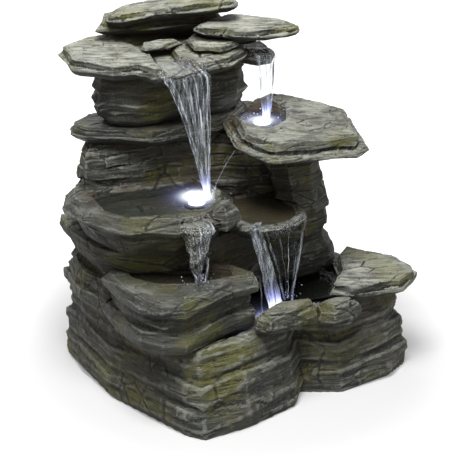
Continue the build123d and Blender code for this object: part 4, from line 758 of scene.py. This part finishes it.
def water_material():
    """Falling water: clear to white by strand, and lit near the lamps."""
    water = bpy.context.scene.fountain_water
    material, tree, shader = new_material("falling_water")
    body, glow = tree.attribute("body"), tree.attribute("glow")
    streak = tree.drawn_noise(tree.object_place(), STREAK_SCALE, 4.0, 0.6)
    tint = tree.span(tree.attribute("tint"), 0.3, 0.7)
    seen = tree.times(body, tree.span(streak, 0.44, 0.66, 0.10, 1.0))
    lit = tree.times(glow, tree.span(streak, 0.38, 0.60, 0.45, 0.95))
    tree.fill(shader, {
        "Base Color": tree.blend(tint, water.glass, water.colour), "Roughness": 0.12, "IOR": WATER_IOR,
        "Alpha": tree.math("MAXIMUM", seen, lit),
        "Emission Color": tree.blend(tree.span(glow, 0.25, 0.75), water.halo, water.glow),
        "Emission Strength": tree.times(glow, 1.6)})
    return material


def pool_material():
    """Still water: dark and clear or brown with silt, with ripples and a bright patch over each lamp."""
    water = bpy.context.scene.fountain_water
    material, tree, shader = new_material("pool_water")
    glow, silt = tree.attribute("glow"), tree.attribute("silt")
    place = tree.object_place()
    murk = tree.times(silt, tree.span(tree.noise(place, MURK_SCALE, 3.0), 0.3, 0.7, 0.55, 1.0))
    tree.fill(shader, {
        "Base Color": tree.blend(murk, POOL_COLOUR, water.silt), "Roughness": 0.04, "IOR": WATER_IOR,
        "Alpha": tree.line(glow, 0.7, tree.line(silt, 0.30, 0.24)),
        "Emission Color": tree.blend(tree.span(glow, 0.05, 0.5), water.halo, water.glow),
        "Emission Strength": tree.times(tree.math("POWER", glow, 1.4), 2.2),
        "Normal": tree.bump(0.5, 0.004, tree.noise(place, RIPPLE_SCALE, 3.0))})
    return material


def stone_search():
    """The stones of the frame as one tree that rays are cast at."""
    points, faces = [], []
    for name in STONES:
        mesh = frame["nodes"][name].data
        start = len(points)
        points += [vertex.co.copy() for vertex in mesh.vertices]
        faces += [[start + i for i in polygon.vertices] for polygon in mesh.polygons]
    return BVHTree.FromPolygons(points, faces)


def pool_mesh(name, middle, search, lamps, hits):
    """A thin body of water that reaches just into the stones round it, with rings round each landing."""
    spokes, rings = POOL_SPOKES, POOL_RINGS
    middle = Vector(middle)
    ways = [Vector((math.cos(turn), math.sin(turn), 0)) for turn in (math.tau * i / spokes for i in range(spokes))]
    reach = []
    for way in ways:
        found = search.ray_cast(middle, way, POOL_REACH)[3]
        reach.append((POOL_OPEN if found is None else found) + POOL_BURY)
    points, faces = [], []
    for low in (0.0, -POOL_DEPTH):
        points.append(middle + Vector((0, 0, low)))
        for r in range(1, rings + 1):
            points += [middle + Vector((0, 0, low)) + way * (far * r / rings) for way, far in zip(ways, reach)]
    half = 1 + rings * spokes
    for point in points[:half]:
        for hit in hits:
            away = (point.xy - hit.xy).length
            point.z += RING_HEIGHT * math.cos(away * RING_RATE) * math.exp(-away / RING_FADE)
    for i in range(spokes):
        after = (i + 1) % spokes
        faces.append((0, 1 + i, 1 + after))
        faces.append((half, half + 1 + after, half + 1 + i))
        for r in range(rings - 1):
            a, b = 1 + r * spokes + i, 1 + r * spokes + after
            faces.append((a, a + spokes, b + spokes, b))
            faces.append((half + a, half + b, half + b + spokes, half + a + spokes))
        a, b = half - spokes + i, half - spokes + after
        faces.append((a, half + a, half + b, b))
    mesh = bpy.data.meshes.new(name)
    mesh.from_pydata([tuple(p) for p in points], [], faces)
    near = [min((point - lamp).length for lamp in lamps) for point in points]
    set_points(mesh, "glow", [math.exp(-max(away - SPREAD.get(name, 0.0), 0) / GLOW_FADE) for away in near])
    set_points(mesh, "silt", [SILTED.get(name, 0.0)] * len(points))
    return mesh


class FOUNTAIN_OT_falls(bpy.types.Operator):
    """Makes the falling water and the drops where it lands"""
    bl_idname = "fountain.falls"
    bl_label = "Falling water"

    def execute(self, context):
        water = context.scene.fountain_water
        material = water_material()
        strands, film, drops = strand_tree(material), sheet_tree(material), drop_tree(material)
        lamps = lamp_points()
        for i, (name, ends) in enumerate(FALLS.items()):
            stone = joined_object("stone", [frame["nodes"][CLINGING.get(name, STONES[0])].data])
            values = {
                **dict(zip(FALL_ENDS, ends)), "Strands": STRANDS[name], "Steps": water.steps, "Radius": water.radius,
                "Wobble": water.wobble, "Seed": water.seed + FALL_SEEDS * i, "Run": FALL_RUN, "Curve": FALL_CURVE,
                "Lamps": lamps, "Glow reach": water.glow_reach * LIT_SHARE.get(name, 1.0), "Thickness": water.sheet,
                "Stone": stone, "Cling": float(name in CLINGING), "White": CLEARER.get(name, WHITE)}
            finish_piece(name, grow(blank_object(), strands, values))
            if name in FILMS:
                finish_piece(name + "_film", grow(blank_object(), film, values))
            drop_object(stone)
            finish_piece(name + "_drops", grow(blank_object(), drops, {
                "Count": DROPS_PER_STRAND * STRANDS[name], "Middle": tuple(landing(name)), "Reach": DROP_REACH,
                "Height": DROP_HEIGHT, "Radius": DROP_RADIUS, "Seed": water.seed + DROP_SEEDS + i}))
        drop_object(lamps)
        return {"FINISHED"}


class FOUNTAIN_OT_pools(bpy.types.Operator):
    """Fills the pools up to their stones"""
    bl_idname = "fountain.pools"
    bl_label = "Pools"

    def execute(self, context):
        material = pool_material()
        search = stone_search()
        lamps = light_places()
        hits = [landing(name) for name in FALLS]
        for name, middle in POOLS.items():
            near = [hit for hit in hits if abs(hit.z - middle[2]) < RING_LEVEL]
            mesh = pool_mesh(name, middle, search, lamps, near)
            mesh.materials.append(material)
            finish_piece(name, mesh)
        return {"FINISHED"}


class FOUNTAIN_OT_stones(bpy.types.Operator):
    """Dresses each stone as layered slate, wet where the water is near"""
    bl_idname = "fountain.stones"
    bl_label = "Slate stones"

    def execute(self, context):
        slate = context.scene.fountain_slate
        group = slate_tree(slate_material())
        lamps = lamp_points()
        falls = joined_object("all_falls", [bpy.data.objects[name].data for name in FALLS])
        water = joined_object("all_water", [bpy.data.objects[name].data for name in (*FALLS, *POOLS)])
        stones = joined_object("all_stones", [frame["nodes"][name].data for name in STONES])
        chance = random.Random(slate.seed)
        for name in STONES:
            source = new_object("source", frame["nodes"][name].data.copy())
            shape = bmesh.new()
            shape.from_mesh(source.data)
            bmesh.ops.remove_doubles(shape, verts=shape.verts, dist=MERGE)
            area = sum(face.calc_area() for face in shape.faces)
            levels = [vertex.co.z for vertex in shape.verts]
            height = max(levels) - min(levels)
            shape.to_mesh(source.data)
            shape.free()
            remesh = source.modifiers.new("cells", "REMESH")
            remesh.mode = "VOXEL"
            remesh.voxel_size = max(slate.cell, math.sqrt(area / slate.most_cells))
            mesh = grow(source, group, {
                "Seed": chance.uniform(0.0, PATTERN_SHIFT),
                "Layer": min(slate.layer, height / slate.laminae) * chance.uniform(*LAYER_RANGE),
                "Depth": slate.depth * DEEPER.get(name, 1.0), "Flake": slate.flake, "Lump": slate.lump,
                "Wet reach": slate.wet_reach, "Soak": SOAKED.get(name, 0.0),
                "Water": water, "Falls": falls, "Lamps": lamps, "Stones": stones})
            piece = finish_piece(name + "_slate", mesh, "hatch" if name == "rear_hatch" else "fountain")
            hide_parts(name)
        for helper in (falls, water, stones, lamps):
            drop_object(helper)
        return {"FINISHED"}


def plain_material(name, colour, roughness, metallic, bump):
    """A moulded or machined finish with fine grain and slight changes of tone."""
    material, tree, shader = new_material(name)
    place = tree.object_place()
    fine = tree.noise(place, GRAIN_SCALE, 3.0)
    broad = tree.noise(place, BROAD_SCALE, 3.0)
    low = (*(LOW_TONE * value for value in colour[:3]), 1)
    tree.fill(shader, {
        "Base Color": tree.blend(tree.span(broad, 0.35, 0.65), low, colour),
        "Roughness": tree.line(fine, 0.2, roughness - 0.1), "Metallic": metallic,
        "Normal": tree.bump(bump, 0.0004, fine)})
    return material


def lens_material():
    """A lit lens: cool white with a fine grain in its light."""
    material, tree, shader = new_material("lens")
    fine = tree.noise(tree.object_place(), LENS_SCALE)
    tree.fill(shader, {
        "Roughness": 0.15, "Emission Color": bpy.context.scene.fountain_water.glow,
        "Emission Strength": tree.span(fine, 0.3, 0.7, 4.0, 6.0)})
    return material


def node_slot(name):
    """The material slot that the record gives a node."""
    for part in frame["record"]["subparts"]:
        if part["node"] == name:
            return part["material_slot"]
    raise RuntimeError(f"no material slot for {name}")


class FOUNTAIN_OT_fittings(bpy.types.Operator):
    """Gives the pump, the riser, the seals and the lights their finishes"""
    bl_idname = "fountain.fittings"
    bl_label = "Pump, riser and lights"

    def execute(self, context):
        look = context.scene.fountain_fittings
        finishes = {"lens": lens_material()}
        for name, (colour, *finish) in FINISHES.items():
            finishes[name] = plain_material(name, getattr(look, colour), *finish)
        for name, node in frame["nodes"].items():
            if name not in STONES:
                node.data.materials.clear()
                node.data.materials.append(finishes[node_slot(name)])
        return {"FINISHED"}


def shown(tree):
    """One where the camera sees a surface, also by a reflection or through water, and zero for other light."""
    path = tree.add("ShaderNodeLightPath").outputs
    through = tree.math("MAXIMUM", path["Is Glossy Ray"], path["Is Transmission Ray"])
    return tree.math("MAXIMUM", path["Is Camera Ray"], through)


def make_floor():
    """A white floor that is greyer about the fountain's foot: a painted shadow, through which the lamps' shadow also
    shows.
    """
    mesh = bpy.data.meshes.new("floor")
    corners = [(-1, -1), (1, -1), (1, 1), (-1, 1)]
    mesh.from_pydata([(x * FLOOR_HALF, y * FLOOR_HALF, 0) for x, y in corners], [], [(0, 1, 2, 3)])
    material, tree, shader = new_material("floor")
    away = tree.add("ShaderNodeVectorMath", tree.object_place(), operation="LENGTH").outputs["Value"]
    # Its own light, lower about the foot as a painted shadow
    white = tree.span(away, FLOOR_NEAR, FLOOR_FAR, FLOOR_LOW, FLOOR_FULL)
    tree.fill(shader, {
        "Base Color": (FLOOR_GREY, FLOOR_GREY, FLOOR_GREY, 1), "Roughness": 0.9, "Emission Color": (1, 1, 1, 1),
        "Emission Strength": tree.times(shown(tree), white)})
    mesh.materials.append(material)
    return new_object("floor", mesh)


def make_surroundings(scene, sky):
    """White where they are seen, and as strong as the sky for the light that they give."""
    world = bpy.data.worlds.new("surroundings")
    world.use_nodes = True
    scene.world = world
    tree = Tree(world.node_tree)
    strength = tree.add("ShaderNodeMapRange", shown(tree), 0.0, 1.0, sky, 1.0).outputs[0]
    tree.fill(world.node_tree.nodes["Background"], {"Color": (1, 1, 1, 1), "Strength": strength})


def make_lamp(name, power):
    """A square lamp that points at the fountain."""
    size, place = LAMPS[name]
    lamp = bpy.data.lights.new(name, "AREA")
    lamp.energy = power
    lamp.size = size
    made = new_object(name, lamp)
    made.location = place
    made.rotation_euler = (Vector(LAMP_TARGET) - Vector(place)).to_track_quat("-Z", "Y").to_euler()
    return made


def make_camera(scene, stage):
    """The camera at its turn and rise about the target."""
    camera = new_object("camera", bpy.data.cameras.new("camera"))
    camera.data.lens = stage.lens
    camera.data.sensor_width = SENSOR_WIDTH
    way = Vector((
        math.sin(stage.azimuth) * math.cos(stage.elevation),
        -math.cos(stage.azimuth) * math.cos(stage.elevation), math.sin(stage.elevation)))
    camera.location = Vector(stage.target) + way * stage.distance
    camera.rotation_euler = (-way).to_track_quat("-Z", "Y").to_euler()
    scene.camera = camera
    return camera


class FOUNTAIN_OT_stage(bpy.types.Operator):
    """Sets the floor, the white surroundings, the lamps and the camera"""
    bl_idname = "fountain.stage"
    bl_label = "Stage"

    def execute(self, context):
        scene = context.scene
        stage = scene.fountain_stage
        scene.view_settings.view_transform = "Standard"
        floor = make_floor()
        make_surroundings(scene, stage.sky)
        lamps = [make_lamp(name, getattr(stage, name)) for name in LAMPS]
        camera = make_camera(scene, stage)
        return {"FINISHED"}


class FOUNTAIN_PT_panel(bpy.types.Panel):
    """The fountain's pieces, in the order they are made"""
    bl_label = "Fountain"
    bl_space_type = "VIEW_3D"
    bl_region_type = "UI"
    bl_category = "Fountain"

    def draw(self, context):
        for operator in OPERATORS:
            self.layout.operator(operator.bl_idname)


OPERATORS = (
    FOUNTAIN_OT_falls, FOUNTAIN_OT_pools, FOUNTAIN_OT_stones, FOUNTAIN_OT_fittings, FOUNTAIN_OT_stage)
GROUPS = {
    "fountain_slate": SlateProperties, "fountain_water": WaterProperties,
    "fountain_fittings": FittingProperties, "fountain_stage": StageProperties}


def register():
    for kind in (*GROUPS.values(), *OPERATORS, FOUNTAIN_PT_panel):
        bpy.utils.register_class(kind)
    for name, kind in GROUPS.items():
        setattr(bpy.types.Scene, name, PointerProperty(type=kind))


def unregister():
    for name in GROUPS:
        delattr(bpy.types.Scene, name)
    for kind in reversed((*GROUPS.values(), *OPERATORS, FOUNTAIN_PT_panel)):
        bpy.utils.unregister_class(kind)


def main():
    register()
    bpy.ops.fountain.falls()
    bpy.ops.fountain.pools()
    bpy.ops.fountain.stones()
    bpy.ops.fountain.fittings()
    bpy.ops.fountain.stage()


if __name__ == "__main__":
    main()
